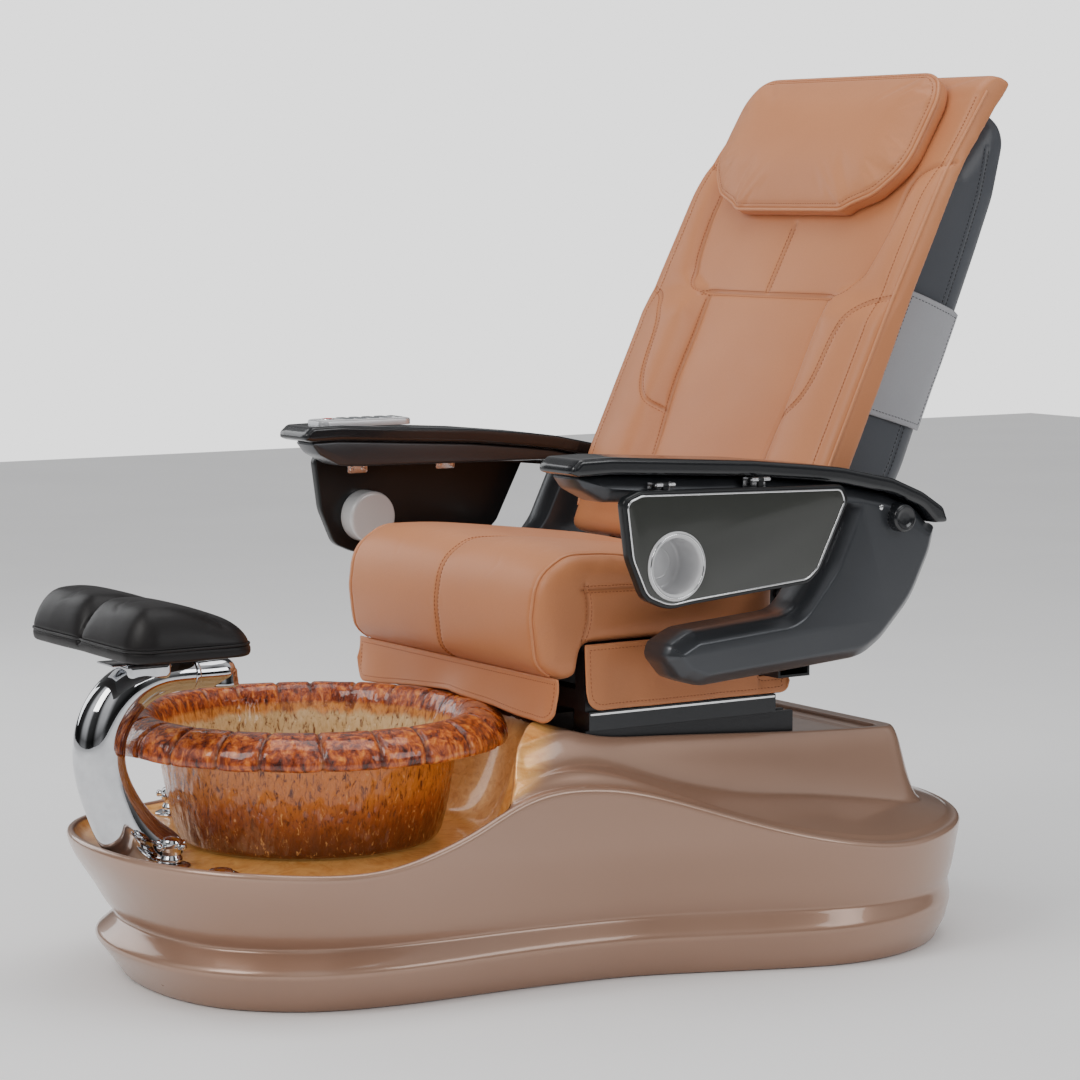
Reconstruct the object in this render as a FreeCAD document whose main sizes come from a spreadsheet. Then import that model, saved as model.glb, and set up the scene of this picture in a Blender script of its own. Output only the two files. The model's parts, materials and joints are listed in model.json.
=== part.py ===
import FreeCAD, Part
import math
import os

V = FreeCAD.Vector
doc = FreeCAD.newDocument("pedicure_spa_chair")

# ---------------------------------------------------------------- driving dimensions (mm)
sheet = doc.addObject("Spreadsheet::Sheet", "dims")
D = {}
_row = [1]


def dim(alias, value, note):
    r = _row[0]
    sheet.set("A%d" % r, alias)
    sheet.set("B%d" % r, str(value))
    sheet.setAlias("B%d" % r, alias)
    sheet.set("C%d" % r, note)
    D[alias] = float(value)
    _row[0] += 1


dim("front_shift", 39, "moves the design so that the origin is under the middle of the whole chair")
dim("wall", 9, "laminate thickness of the base shell")
dim("band_top", 62, "top of the toe band, where the groove starts")
dim("groove_top", 92, "top of the groove round the base")
dim("deck_top", 200, "front deck and floor of the bowl recess")
dim("recess_low_r", 270, "bowl recess radius at its floor")
dim("recess_high_r", 336, "bowl recess radius at its highest edge")
dim("tub_floor", 322, "floor of the shallow tray on the pedestal")
dim("bowl_y", -415, "bowl centre, from the design origin")
dim("bowl_base", 203, "underside of the bowl")
dim("bowl_foot_r", 186, "bowl radius at its foot")
dim("bowl_body_r", 221, "bowl radius under the rim")
dim("bowl_crest_r", 250, "radius of the top of the rim")
dim("bowl_crest", 398, "height of the top of the rim")
dim("bowl_lip_r", 298, "outer radius of the turned-down lip")
dim("bowl_wall", 8, "bowl glass thickness")
dim("drain_r", 19, "drain tail outer radius")
dim("inlet_r", 10.5, "half-inch supply nipple outer radius")
dim("knob_r", 22, "water knob radius over its arms")
dim("button_r", 18, "push button radius")
dim("button_stroke", 3, "push button travel")
dim("spout_mid", 462, "height of the spout axis")
dim("spout_r", 22, "spout radius")
dim("pad_w", 372, "foot pad width")
dim("pad_d", 204, "foot pad depth")
dim("rail_gauge", 262, "slide rails, half spacing")
dim("rail_len", 345, "slide rail length")
dim("seat_half", 291, "seat cushion half width")
dim("skirt_t", 4, "leather skirt thickness")
dim("pivot_y", 285, "recline pivot, from the design origin")
dim("pivot_z", 545, "recline pivot height")
dim("lever", 67, "recline lever length below the pivot")
dim("back_half", 324, "back cushion half width")
dim("shell_half", 282, "back shell half width")
dim("shell_t", 4, "back shell thickness")
dim("arm_in", 352, "inner face of an arm frame from the middle")
dim("arm_w", 76, "arm frame width")
dim("cap_in", 342, "inner edge of an arm cap from the middle")
dim("cap_w", 92, "arm cap width")
dim("cap_t", 24, "arm cap thickness")
dim("tray_in", 439, "inner face of a side tray from the middle")
dim("tray_t", 18, "side tray thickness")
dim("cup_y", -64, "cup holder centre, from the design origin")
dim("cup_z", 631, "cup holder centre height")
dim("cup_r", 43, "cup outer radius")
dim("cup_deep", 48, "cup depth behind the tray face")
dim("arm_knob_r", 22, "arm lock knob radius")
dim("roller_r", 30, "massage roller radius")
doc.recompute()

YS = D["front_shift"]
parts = []


def reg(obj, label, shifted=True):
    """Name a finished sub-part and set it in the chair's frame."""
    obj.Label = label
    if shifted:
        obj.Placement = FreeCAD.Placement(V(0, YS, 0), FreeCAD.Rotation()).multiply(obj.Placement)
    parts.append(obj)
    return obj


def bind(obj, **exprs):
    for k, e in exprs.items():
        obj.setExpression(k, e)
    return obj


def box(x0, x1, y0, y1, z0, z1, **exprs):
    b = doc.addObject("Part::Box", "box")
    b.Length, b.Width, b.Height = x1 - x0, y1 - y0, z1 - z0
    b.Placement.Base = V(x0, y0, z0)
    return bind(b, **exprs)


def cyl(p, axis, r, length, **exprs):
    c = doc.addObject("Part::Cylinder", "cyl")
    c.Radius, c.Height = r, length
    c.Placement = FreeCAD.Placement(V(*p), FreeCAD.Rotation(V(0, 0, 1), V(*axis)))
    return bind(c, **exprs)


def cone(p, axis, r1, r2, length, **exprs):
    c = doc.addObject("Part::Cone", "cone")
    c.Radius1, c.Radius2, c.Height = r1, r2, length
    c.Placement = FreeCAD.Placement(V(*p), FreeCAD.Rotation(V(0, 0, 1), V(*axis)))
    return bind(c, **exprs)


def fuse(*objs):
    if len(objs) == 1:
        return objs[0]
    f = doc.addObject("Part::MultiFuse", "fuse")
    f.Shapes = list(objs)
    f.Refine = True
    return f


def cut(a, *tools):
    c = doc.addObject("Part::Cut", "cut")
    c.Base = a
    c.Tool = fuse(*tools)
    return c


def feature(shape, name="feature"):
    f = doc.addObject("Part::Feature", name)
    f.Shape = shape
    return f


def as_drawn(obj):
    """The shape of a finished sub-part, back in the coordinates it was drawn in."""
    doc.recompute()
    sh = obj.Shape.copy()
    sh.translate(V(0, -YS, 0))
    return sh


def mirrored(src, label):
    m = doc.addObject("Part::Mirroring", "mirror")
    m.Source = src
    m.Normal = (1, 0, 0)
    m.Base = (0, 0, 0)
    m.Label = label
    parts.append(m)
    return m


# ---- profiles: corner list to straight runs joined by tangent arcs
def rounded(pts, r):
    n = len(pts)
    rr = r if isinstance(r, (list, tuple)) else [r] * n
    ends = []
    for i in range(n):
        p0, p1, p2 = (V(pts[j][0], pts[j][1], 0) for j in ((i - 1) % n, i, (i + 1) % n))
        a = p0.sub(p1)
        b = p2.sub(p1)
        la, lb = a.Length, b.Length
        a.normalize()
        b.normalize()
        ang = a.getAngle(b)
        if rr[i] <= 0 or ang > math.pi - 0.02:
            ends.append((p1, None, p1))
            continue
        t = min(rr[i] / math.tan(ang / 2), 0.46 * min(la, lb))
        rad = t * math.tan(ang / 2)
        s = p1.add(a.multiply(t))
        e = p1.add(b.multiply(t))
        bis = s.add(e).multiply(0.5).sub(p1)
        h = rad / math.sin(ang / 2)
        m = p1.add(bis.normalize().multiply(h - rad))
        ends.append((s, m, e))
    out = []
    for i in range(n):
        s, m, e = ends[i]
        if m is not None:
            out.append(Part.Arc(s, m, e))
        q = ends[(i + 1) % n][0]
        if e.distanceToPoint(q) > 1e-6:
            out.append(Part.LineSegment(e, q))
    return out


def plane_of(body, role):
    for o in body.Origin.OriginFeatures:
        if o.Role == role:
            return o


def sketch(body, role, offset, *loops):
    sk = body.newObject("Sketcher::SketchObject", "sketch")
    sk.AttachmentSupport = [(plane_of(body, role), "")]
    sk.MapMode = "FlatFace"
    sk.AttachmentOffset = FreeCAD.Placement(V(0, 0, offset), FreeCAD.Rotation())
    for lp in loops:
        sk.addGeometry(list(lp), False)
    return sk


def circle(x, y, r):
    return [Part.Circle(V(x, y, 0), V(0, 0, 1), r)]


def pad(body, sk, length, **exprs):
    p = body.newObject("PartDesign::Pad", "pad")
    p.Profile = sk
    p.Length = length
    body.Tip = p
    return bind(p, **exprs)


def new_body():
    return doc.addObject("PartDesign::Body", "body")


def plate_yz(x0, t, pts, r, holes=(), **exprs):
    """A flat piece standing in the YZ plane, from x0 outwards."""
    b = new_body()
    sk = sketch(b, "YZ_Plane", x0, rounded(pts, r), *holes)
    pad(b, sk, t, **exprs)
    return b


def plate_xy(z0, t, pts, r, holes=(), **exprs):
    b = new_body()
    sk = sketch(b, "XY_Plane", z0, rounded(pts, r), *holes)
    pad(b, sk, t, **exprs)
    return b


def turned(profile, about="vertical"):
    """A body of revolution: profile in (radius, height) about the sketch's own vertical axis."""
    b = new_body()
    sk = sketch(b, "XZ_Plane", 0, [Part.LineSegment(V(p[0], p[1], 0), V(q[0], q[1], 0))
                                   for p, q in zip(profile, profile[1:] + profile[:1])])
    rv = b.newObject("PartDesign::Revolution", "turn")
    rv.Profile = sk
    rv.ReferenceAxis = (sk, ["V_Axis"])
    rv.Angle = 360
    b.Tip = rv
    return b


def put(obj, x, y, z, axis=(0, 0, 1)):
    obj.Placement = FreeCAD.Placement(V(x, y, z), FreeCAD.Rotation(V(0, 0, 1), V(*axis)))
    return obj


def extr_yz(pts, r, x0, x1):
    w = Part.Wire(Part.__sortEdges__([g.toShape() for g in rounded(pts, r)]))
    w.transformShape(FreeCAD.Matrix(0, 0, 1, 0, 1, 0, 0, 0, 0, 1, 0, 0, 0, 0, 0, 1))
    return Part.Face(w).extrude(V(x1 - x0, 0, 0)).translated(V(x0, 0, 0))


def soft_edges(shape, radius, pick):
    """Round the chosen edges, stepping the radius down until the kernel accepts it."""
    for k in (1.0, 0.8, 0.6, 0.45, 0.3):
        try:
            es = [e for e in shape.Edges if pick(e)]
            s = shape.makeFillet(radius * k, es)
            if s.isValid() and s.Solids and abs(s.Volume) > 0.7 * shape.Volume:
                return s
        except Exception:
            pass
    return shape


# ================================================================= base shell
HALF = [(0, -768), (100, -758), (197, -722), (278, -652), (328, -562), (347, -460), (348, -355), (344, -250),
        (348, -150), (365, -50), (405, 60), (448, 170), (474, 270), (470, 370), (438, 460), (374, 545), (284, 605),
        (160, 645), (0, 655)]
RIDGE = [(-860, 224), (-760, 221), (-600, 214), (-470, 216), (-395, 233), (-329, 255), (-262, 283), (-211, 297), (-140, 300),
         (-70, 291), (40, 258), (160, 220), (270, 196), (370, 185), (460, 187), (560, 192), (720, 196)]
PLAN = Part.BSplineCurve()
PLAN.interpolate(Points=[V(x, y, 0) for x, y in HALF + [(-x, y) for x, y in HALF[::-1][1:-1]]], PeriodicFlag=True)


def ease(v):
    v = max(0.0, min(1.0, v))
    return v * v * (3 - 2 * v)


def outline(z, front, middle, rear, more=0.0, n=40):
    """Closed plan curve at height z, set in from the deck edge by a distance that varies front to rear."""
    u0, u1 = PLAN.FirstParameter, PLAN.LastParameter
    pts = []
    for i in range(n):
        u = u0 + (u1 - u0) * i / n
        p = PLAN.value(u)
        tg = PLAN.tangent(u)[0]
        f = ease((p.y + 100) / -600.0)
        b = ease((p.y - 100) / 500.0)
        d = middle + (front - middle) * f + (rear - middle) * b + more
        pts.append(V(p.x - tg.y * d, p.y + tg.x * d, z))
    c = Part.BSplineCurve()
    c.interpolate(Points=pts, PeriodicFlag=True)
    return Part.Wire([c.toShape()])


t = D["wall"]
zb, zg = D["band_top"], D["groove_top"]
toe = Part.makeLoft([outline(0, 84, 46, 40), outline(zb * 0.5, 62, 28, 24), outline(zb, 38, 16, 16)], True, False)
cove = Part.makeLoft([outline(zb, 38, 16, 16), outline(zg, 74, 36, 20)], True, True)
tub = Part.makeLoft([outline(zg, 74, 36, 20), outline(140, 40, 20, 9), outline(215, 1, 3, 0), outline(345, -4, 3, 2)], True, False)
toe_i = Part.makeLoft([outline(-2, 86, 48, 42, t), outline(zb - 8, 40, 18, 18, t)], True, True)
cove_i = Part.makeLoft([outline(zb - 8, 40, 18, 18, t), outline(zg - 2, 75, 37, 21, t)], True, True)
tub_i = Part.makeLoft([outline(zg - 2, 75, 37, 21, t), outline(140, 40, 20, 9, t), outline(215, 1, 3, 0, t),
                       outline(345, -4, 3, 2, t)], True, False)


def above(curve, drop, x=620):
    """Everything above a front-to-rear line, the full width of the chair."""
    c = Part.BSplineCurve()
    c.interpolate(Points=[V(-x, y, z - drop) for y, z in curve])
    a, b = c.StartPoint, c.EndPoint
    top = 700
    e = [c.toShape(), Part.makeLine(b, V(-x, b.y, top)), Part.makeLine(V(-x, b.y, top), V(-x, a.y, top)),
         Part.makeLine(V(-x, a.y, top), a)]
    return Part.Face(Part.Wire(e)).extrude(V(2 * x, 0, 0))


def ring_xy(z, x, y0, y1, r):
    w = Part.Wire(Part.__sortEdges__([g.toShape() for g in rounded([(-x, y0), (x, y0), (x, y1), (-x, y1)], r)]))
    return w.translated(V(0, 0, z))


PED_TOP = [(-330, 405), (-260, 402), (-205, 393), (-160, 383), (-90, 364), (0, 355), (100, 349), (300, 337), (520, 329), (600, 327)]
pedestal = Part.makeLoft([ring_xy(200, 334, -221, 525, 92), ring_xy(430, 274, -188, 477, 75)], True, True).cut(above(PED_TOP, 0))
pedestal_i = Part.makeLoft([ring_xy(190, 336 - t, -223 + t, 527 - t, 88), ring_xy(430, 274 - t, -188 + t, 477 - t, 70)],
                           True, True).cut(above(PED_TOP, t))
cy = D["bowl_y"]
dz = D["deck_top"]


def recess(extra, z0):
    h = 430 - dz
    k = (D["recess_high_r"] - D["recess_low_r"]) / 205.0
    return Part.makeCone(D["recess_low_r"] + extra - k * (dz - z0), D["recess_low_r"] + extra + k * h, 430 - z0, V(0, cy, z0))


def deck_cut(inset, z0):
    w = outline(z0, 20 - inset, 20 - inset, 20 - inset)
    s = Part.Face(w).extrude(V(0, 0, 430 - z0))
    return s.common(Part.makeBox(1200, 470 + inset, 600, V(-600, -885, z0 - 10)))


pedestal_i = pedestal_i.fuse(Part.Face(ring_xy(150, 298, -180, 486, 80)).extrude(V(0, 0, 70)))
outer = toe.fuse(cove).fuse(tub.cut(above(RIDGE, 0))).fuse(pedestal)
outer = outer.cut(recess(0, dz)).cut(deck_cut(0, dz))
outer = outer.cut(Part.makeBox(2 * (D["rail_gauge"] + 21), 560, 200, V(-(D["rail_gauge"] + 21), -104, D["tub_floor"])))
inner = toe_i.fuse(cove_i).fuse(tub_i.cut(above(RIDGE, t))).fuse(pedestal_i)
inner = inner.cut(recess(t, dz - t)).cut(deck_cut(t, dz - t))
inner = inner.cut(Part.makeBox(2 * (D["rail_gauge"] + 21 + t), 560 + 2 * t, 200, V(-(D["rail_gauge"] + 21 + t), -104 - t, D["tub_floor"] - t)))
shell = outer.cut(inner)

KNOBS = {"near": (90, -690), "far": (-276, -505)}
BUTTONS = {"near": (192, -664), "far": (-222, -476)}
JET = (95, cy + 60)
holes = [Part.makeCylinder(26, 60, V(0, cy, dz - 30)), Part.makeCylinder(11, 60, V(JET[0], JET[1], dz - 30)),
         Part.makeCylinder(16, 60, V(0, -690, dz - 30))]
for k in ("near", "far"):
    holes.append(Part.makeCylinder(13, 60, V(KNOBS[k][0], KNOBS[k][1], dz - 30)))
    holes.append(Part.makeCylinder(D["button_r"] + 1, 60, V(BUTTONS[k][0], BUTTONS[k][1], dz - 30)))
for h in holes:
    shell = shell.cut(h)
hatch = Part.makeBox(300, 200, 70, V(-150, 500, 104))
panel = shell.common(Part.makeBox(298, 200, 68, V(-149, 500, 105)))
shell = shell.cut(hatch)
reg(feature(max(shell.Solids, key=lambda s: s.Volume), "base_shell"), "base_shell")
reg(feature(panel.Solids[0], "access_panel"), "access_panel")

# ---- steel sub-frame and levelling feet inside the base
bars = [box(-215, -185, -520, 470, 24, 54), box(185, 215, -520, 470, 24, 54)]
for y in (-520, -60, 440):
    bars.append(box(-215, 215, y, y + 30, 24, 54))
for x in (-215, 185):
    for y in (-60, 410):
        bars.append(box(x, x + 30, y, y + 30, 54, D["tub_floor"] - D["wall"] - 0.5))
reg(fuse(*bars), "base_subframe")
feet = []
for x in (-200, 200):
    for y in (-505, 455):
        feet.append(fuse(cyl((x, y, 0), (0, 0, 1), 26, 10), cyl((x, y, 10), (0, 0, 1), 6, 14)))
feet_c = doc.addObject("Part::Compound", "feet")
feet_c.Links = feet
reg(feet_c, "leveling_feet")

# ================================================================= bowl
r0, r1, rc, rl, w = D["bowl_foot_r"], D["bowl_body_r"], D["bowl_crest_r"], D["bowl_lip_r"], D["bowl_wall"]
zb0, zc = D["bowl_base"], D["bowl_crest"]
prof = [(24, zb0), (r0, zb0), (r0 + 13, zb0 + 6), (r0 + 22, zb0 + 22), (r1 - 8, zb0 + 55), (r1 - 3, zb0 + 100), (r1, zc - 48),
        (r1 + 8, zc - 24), (rc - 6, zc - 11), (rc + 4, zc - 10), (rc + 22, zc - 20), (rl - 8, zc - 45), (rl, zc - 42), (rl, zc - 36),
        (rc + 28, zc - 11), (rc + 8, zc - 1), (rc, zc), (rc - 8, zc - 3), (r1 - 2, zc - 22), (r1 - w, zc - 48),
        (r1 - w - 3, zb0 + 100), (r1 - w - 9, zb0 + 56), (r0 + 12, zb0 + 26), (r0 + 2, zb0 + 12), (r0 - 12, zb0 + w), (24, zb0 + w)]
bowl = turned(prof)
sk_h = sketch(bowl, "XY_Plane", zb0 - 10, circle(JET[0], JET[1] - cy, 11))
pk = bowl.newObject("PartDesign::Pocket", "jet_hole")
pk.Profile = sk_h
pk.Length = 25
pk.Reversed = True
bowl.Tip = pk
reg(put(bowl, 0, cy, 0), "basin_bowl")
reg(cut(cyl((0, cy, dz), (0, 0, 1), 172, zb0 - dz), cyl((0, cy, dz - 1), (0, 0, 1), 150, 10)), "bowl_seal_ring")

# ---- drain
rd = D["drain_r"]
drain = turned([(rd - 2.5, 46), (rd, 46), (rd, 150), (23.5, 155), (23.5, 176), (36, 176), (36, dz - t), (23.5, dz - t),
                (23.5, zb0 + w), (33, zb0 + w), (33, zb0 + w + 2.5), (rd, zb0 + w + 2.5), (rd - 2.5, zb0 + w)])
reg(put(drain, 0, cy, 0), "drain_fitting")
stop = turned([(0, 178), (6, 178), (6, zb0 + w + 2.9), (27, zb0 + w + 2.9), (26, zb0 + w + 5), (14, zb0 + w + 7.5), (0, zb0 + w + 8)])
reg(put(stop, 0, cy, 0), "drain_stopper")

# ---- whirlpool jet: housing on the bowl floor, impeller inside, motor under the deck
jh = turned([(12, zb0 + w), (42, zb0 + w), (42, zb0 + w + 14), (34, zb0 + w + 24), (24, zb0 + w + 24), (24, zb0 + w + 20),
             (32, zb0 + w + 18), (38, zb0 + w + 12), (38, zb0 + w + 3), (12, zb0 + w + 3)])
reg(put(jh, JET[0], JET[1], 0), "jet_housing")
hub = cyl((0, 0, zb0 + w + 4), (0, 0, 1), 9, 10)
blades = []
for i in range(6):
    b = box(6, 30, -1.5, 1.5, zb0 + w + 4.5, zb0 + w + 12)
    b.Placement = FreeCAD.Placement(V(0, 0, 0), FreeCAD.Rotation(V(0, 0, 1), 60 * i)).multiply(b.Placement)
    blades.append(b)
imp = fuse(hub, cyl((0, 0, 188), (0, 0, 1), 5, zb0 + w + 4 - 188 + 2), *blades)
imp.Placement.Base = V(JET[0], JET[1], 0)
reg(imp, "jet_impeller")
jm = cut(fuse(cyl((JET[0], JET[1], 96), (0, 0, 1), 38, 84), cyl((JET[0], JET[1], 180), (0, 0, 1), 48, dz - t - 180)),
         cyl((JET[0], JET[1], 170), (0, 0, 1), 5.06, 40))
reg(jm, "jet_motor")

# ================================================================= foot-rest pillar, spout and sprayer
zs = D["spout_mid"]


def ell(y, z, a, b, tilt):
    """Oval across the pillar's curved centre line: a in the fore-and-aft direction, b sideways."""
    c, q = math.cos(math.radians(tilt)), -math.sin(math.radians(tilt))
    pts = []
    for i in range(16):
        u = math.pi * i / 8
        pts.append(V(b * math.sin(u), y + a * math.cos(u) * c, z + a * math.cos(u) * q))
    k = Part.BSplineCurve()
    k.interpolate(Points=pts, PeriodicFlag=True)
    return Part.Wire([k.toShape()])


secs = [ell(-684, dz, 54, 44, -18), ell(-703, 226, 48, 41, -24), ell(-737, 276, 40, 38, -20), ell(-757, 330, 37, 37, -6), ell(-757, 382, 37.5, 37, 10),
        ell(-737, 424, 39, 36, 32), ell(-704, 452, 36, 34, 60), ell(-664, 461, 26, 27, 84), ell(-612, zs, D["spout_r"], D["spout_r"], 90)]
pillar = Part.makeLoft(secs, True, False)
pillar = pillar.cut(Part.makeBox(200, 300, 60, V(-100, -860, 487)))
head_block = Part.makeBox(58, 62, 30, V(-29, -722, 456.5))
head_block = soft_edges(head_block, 10, lambda e: abs(e.tangentAt(e.FirstParameter).z) > 0.9)
pillar = pillar.fuse(head_block)
pillar = pillar.cut(Part.makeBox(400, 400, 60, V(-200, -900, dz - 60)))
pillar = pillar.cut(Part.makeCylinder(12.5, 112, V(0, -722, zs), V(0, 1, 0)))
pillar = pillar.cut(as_drawn([p for p in parts if p.Label == "base_shell"][0]))
reg(feature(max(pillar.Solids, key=lambda s: s.Volume), "footrest_pillar"), "footrest_pillar")

hs = fuse(cyl((0, -605, zs), (0, 1, 0), 21, 46), cyl((0, -611.5, zs), (0, 1, 0), 22.5, 7), cyl((0, -626, zs), (0, 1, 0), 12.2, 16))
dome = doc.addObject("Part::Sphere", "dome")
dome.Radius = 21
dome.Placement.Base = V(0, -559, zs)
spray = cone((0, -557, 441), (0, 0, 1), 23, 19.5, 22)
sprayer = cut(fuse(hs, dome, spray), box(-6, 6, -604, -573.5, zs + 16.2, zs + 30), cyl((0, -557, 440), (0, 0, 1), 18, 3))
reg(sprayer, "sprayer_head")
reg(fuse(cyl((0, -706, zs), (0, 1, 0), 7, 80), cyl((0, -710, zs), (0, 1, 0), 9, 6)), "sprayer_hose")
tog = fuse(box(-5, 5, -599, -583, zs + 18.2, zs + 24.5), cyl((-5.6, -591, zs + 20.5), (1, 0, 0), 1.8, 11.2), box(-4, 4, -589, -577, zs + 22, zs + 26))
reg(tog, "sprayer_toggle")

# ---- foot pad on its tilting plate
zpv = 496.5
ear_l = fuse(box(20, 24, -696, -684, 489.5, zpv), cyl((20, -690, zpv), (1, 0, 0), 5.5, 4))
ear_r = fuse(box(-24, -20, -696, -684, 489.5, zpv), cyl((-24, -690, zpv), (1, 0, 0), 5.5, 4))
br = cut(fuse(box(-28, 28, -713, -668, 487, 489.9), ear_l, ear_r), cyl((-40, -690, zpv), (1, 0, 0), 3.56, 80))
reg(br, "footrest_bracket")


def bean(z0, h, sx, sy):
    pts = [(-sx, 0), (-0.93 * sx, -0.62 * sy), (-0.62 * sx, -0.98 * sy), (0, -0.90 * sy), (0.62 * sx, -0.98 * sy), (0.93 * sx, -0.62 * sy),
           (sx, 0), (0.93 * sx, 0.62 * sy), (0.62 * sx, 0.98 * sy), (0, 0.90 * sy), (-0.62 * sx, 0.98 * sy), (-0.93 * sx, 0.62 * sy)]
    c = Part.BSplineCurve()
    c.interpolate(Points=[V(x, y - 690, z0) for x, y in pts], PeriodicFlag=True)
    return Part.Face(Part.Wire([c.toShape()])).extrude(V(0, 0, h))


plate = feature(bean(504, 4, 150, 76))
lug = fuse(box(-16, 16, -695, -685, zpv - 2, 504.5), cyl((-16, -690, zpv), (1, 0, 0), 4.9, 32), cyl((-25.5, -690, zpv), (1, 0, 0), 3.5, 51))
reg(fuse(plate, lug), "footrest_plate")
padx = bean(508.4, 84, D["pad_w"] / 2, D["pad_d"] / 2)
padx = soft_edges(padx, 30, lambda e: e.BoundBox.ZLength < 0.5)
reg(feature(padx), "footrest_pad")

# ---- water valves, knobs, push buttons
esc, vb, bz = [], [], []
for k in ("near", "far"):
    x, y = KNOBS[k]
    esc.append(cut(cone((x, y, dz), (0, 0, 1), 27, 22, 6), cyl((x, y, dz - 1), (0, 0, 1), 13, 10)))
    vb.append(fuse(cyl((x, y, 158), (0, 0, 1), 13, dz - t - 158.5), cyl((x, y, 180), (0, 0, 1), 12, 26), cyl((x, y, 200), (0, 0, 1), 7, 34)))
    x, y = BUTTONS[k]
    bz.append(cut(cone((x, y, dz), (0, 0, 1), 27, 24, 6.5), cyl((x, y, dz - 1), (0, 0, 1), D["button_r"] + 0.4, 10)))
for lst, nm in ((esc, "valve_escutcheons"), (vb, "valve_bodies"), (bz, "button_bezels")):
    c = doc.addObject("Part::Compound", nm)
    c.Links = lst
    reg(c, nm)
for k, nm in (("near", "hot_valve_knob"), ("far", "cold_valve_knob")):
    kr = D["knob_r"]
    hub = turned([(7.05, 206.6), (15, 206.6), (16, 212), (13, 218), (15, 226), (16, 238), (12, 243), (0, 244.5), (0, 235), (7.05, 235)])
    arms_ = [cyl((-kr - 3, 0, 231), (1, 0, 0), 5, 2 * kr + 6), cyl((0, -kr - 3, 231), (0, 1, 0), 5, 2 * kr + 6)]
    core = cyl((0, 0, 200), (0, 0, 1), 7.05, 35)
    kn = cut(fuse(hub, *arms_), core)
    kn.Placement.Base = V(KNOBS[k][0], KNOBS[k][1], 0)
    reg(kn, nm)
for k, nm in (("near", "jet_button"), ("far", "drain_button")):
    br_ = D["button_r"]
    bt = turned([(0, dz - 3.5), (br_, dz - 3.5), (br_, dz + 8), (br_ - 4, dz + 11), (0, dz + 12.5)])
    reg(put(bt, BUTTONS[k][0], BUTTONS[k][1], 0), nm)

# ---- supply manifold: two half-inch nipples facing down behind the deck, a tee and the rising pipe to the pillar
ri = D["inlet_r"]
man = fuse(box(-70, 70, -632, -600, 96, 124), cyl((-45, -616, 60), (0, 0, 1), ri, 40), cyl((45, -616, 60), (0, 0, 1), ri, 40),
           cyl((0, -690, 110), (0, 1, 0), 8, 70), cyl((0, -690, 102), (0, 0, 1), 8, dz - 0.2 - 102))
reg(cut(man, feature(as_drawn([p for p in parts if p.Label == "base_shell"][0]))), "supply_manifold")
reg(fuse(box(-110, 110, 90, 250, 58, 130), box(-186, 186, 110, 230, 54.2, 58)), "control_box")

# ================================================================= slide rails and slide actuator
g = D["rail_gauge"]
rl_ = D["rail_len"]
low, up = [], []
for s in (-1, 1):
    x = s * g
    low.append(cut(box(x - 16, x + 16, -100, -100 + rl_ + 40, D["tub_floor"], 369.5, Width="dims.rail_len + 40"),
                   box(x - 8, x + 8, -110, 400, 352, 380)))
    up.append(fuse(box(x - 20, x + 20, -96, -96 + rl_, 370.2, 398, Width="dims.rail_len"), box(x - 7.2, x + 7.2, -96, -96 + rl_, 353, 372, Width="dims.rail_len")))
for lst, nm in ((low, "lower_rails"), (up, "upper_rails")):
    c = doc.addObject("Part::Compound", nm)
    c.Links = lst
    reg(c, nm)
sa = cut(fuse(cyl((-70, -70, 358), (0, 1, 0), 22, 240), box(-104, -50, -92, -40, 336, 380), box(-86, -54, 120, 150, D["tub_floor"], 345)),
         cyl((-70, -40, 358), (0, 1, 0), 11, 240))
reg(sa, "slide_actuator")
reg(fuse(cyl((-70, 0, 358), (0, 1, 0), 10, 236), box(-80, -60, 236, 248, 346, 400)), "slide_rod")

# ================================================================= seat
fr = [box(-g - 15, -g + 15, -100, 262, 398.2, 430), box(g - 15, g + 15, -100, 262, 398.2, 430)]
fr += [box(-g, g, -100, -70, 400, 430), box(-g, g, 120, 146, 400, 430), box(-g, g, 236, 262, 400, 430)]
fr += [box(-275, 275, -104, 250, 489, 499.5)]
fr += [box(s * g - 12, s * g + 12, y, y + 24, 430, 490) for s in (-1, 1) for y in (-100, 120)]
# hinge cheeks for the recline pivot
for s in (-1, 1):
    fr.append(fuse(box(s * 236 - 4, s * 236 + 4, 263, 303, 462, D["pivot_z"]), cyl((s * 236 - 4, D["pivot_y"], D["pivot_z"]), (1, 0, 0), 20, 8),
                   box(s * 236 - 4, s * 236 + 4, 200, 303, 462, 490)))
seatf = cut(fuse(*fr), cyl((-300, D["pivot_y"], D["pivot_z"]), (1, 0, 0), 8.06, 600), box(30, 70, 196, 262, 486, 502))
reg(seatf, "seat_frame")
sh_ = D["seat_half"]
cprof = [(-150, 449), (-112, 452), (-106, 500), (244, 500), (246, 598), (-70, 634), (-132, 634), (-180, 600), (-190, 540), (-180, 470)]
cush = extr_yz(cprof, [14, 14, 4, 12, 22, 40, 40, 40, 50, 26], -sh_, sh_)
cush = soft_edges(cush, 24, lambda e: abs(abs(e.CenterOfMass.x) - sh_) < 0.1 and e.BoundBox.XLength < 0.1 and e.CenterOfMass.z > 505)
reg(feature(cush), "seat_cushion")
fs = new_body()
sk = sketch(fs, "XZ_Plane", 154, rounded([(-289, 386), (-200, 388), (-120, 396), (0, 406), (120, 396), (200, 388), (289, 386), (289, 448), (-289, 448)],
                                         [14, 60, 60, 60, 60, 60, 14, 2, 2]))
pad(fs, sk, D["skirt_t"], Length="dims.skirt_t")
reg(fs, "front_skirt")
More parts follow.
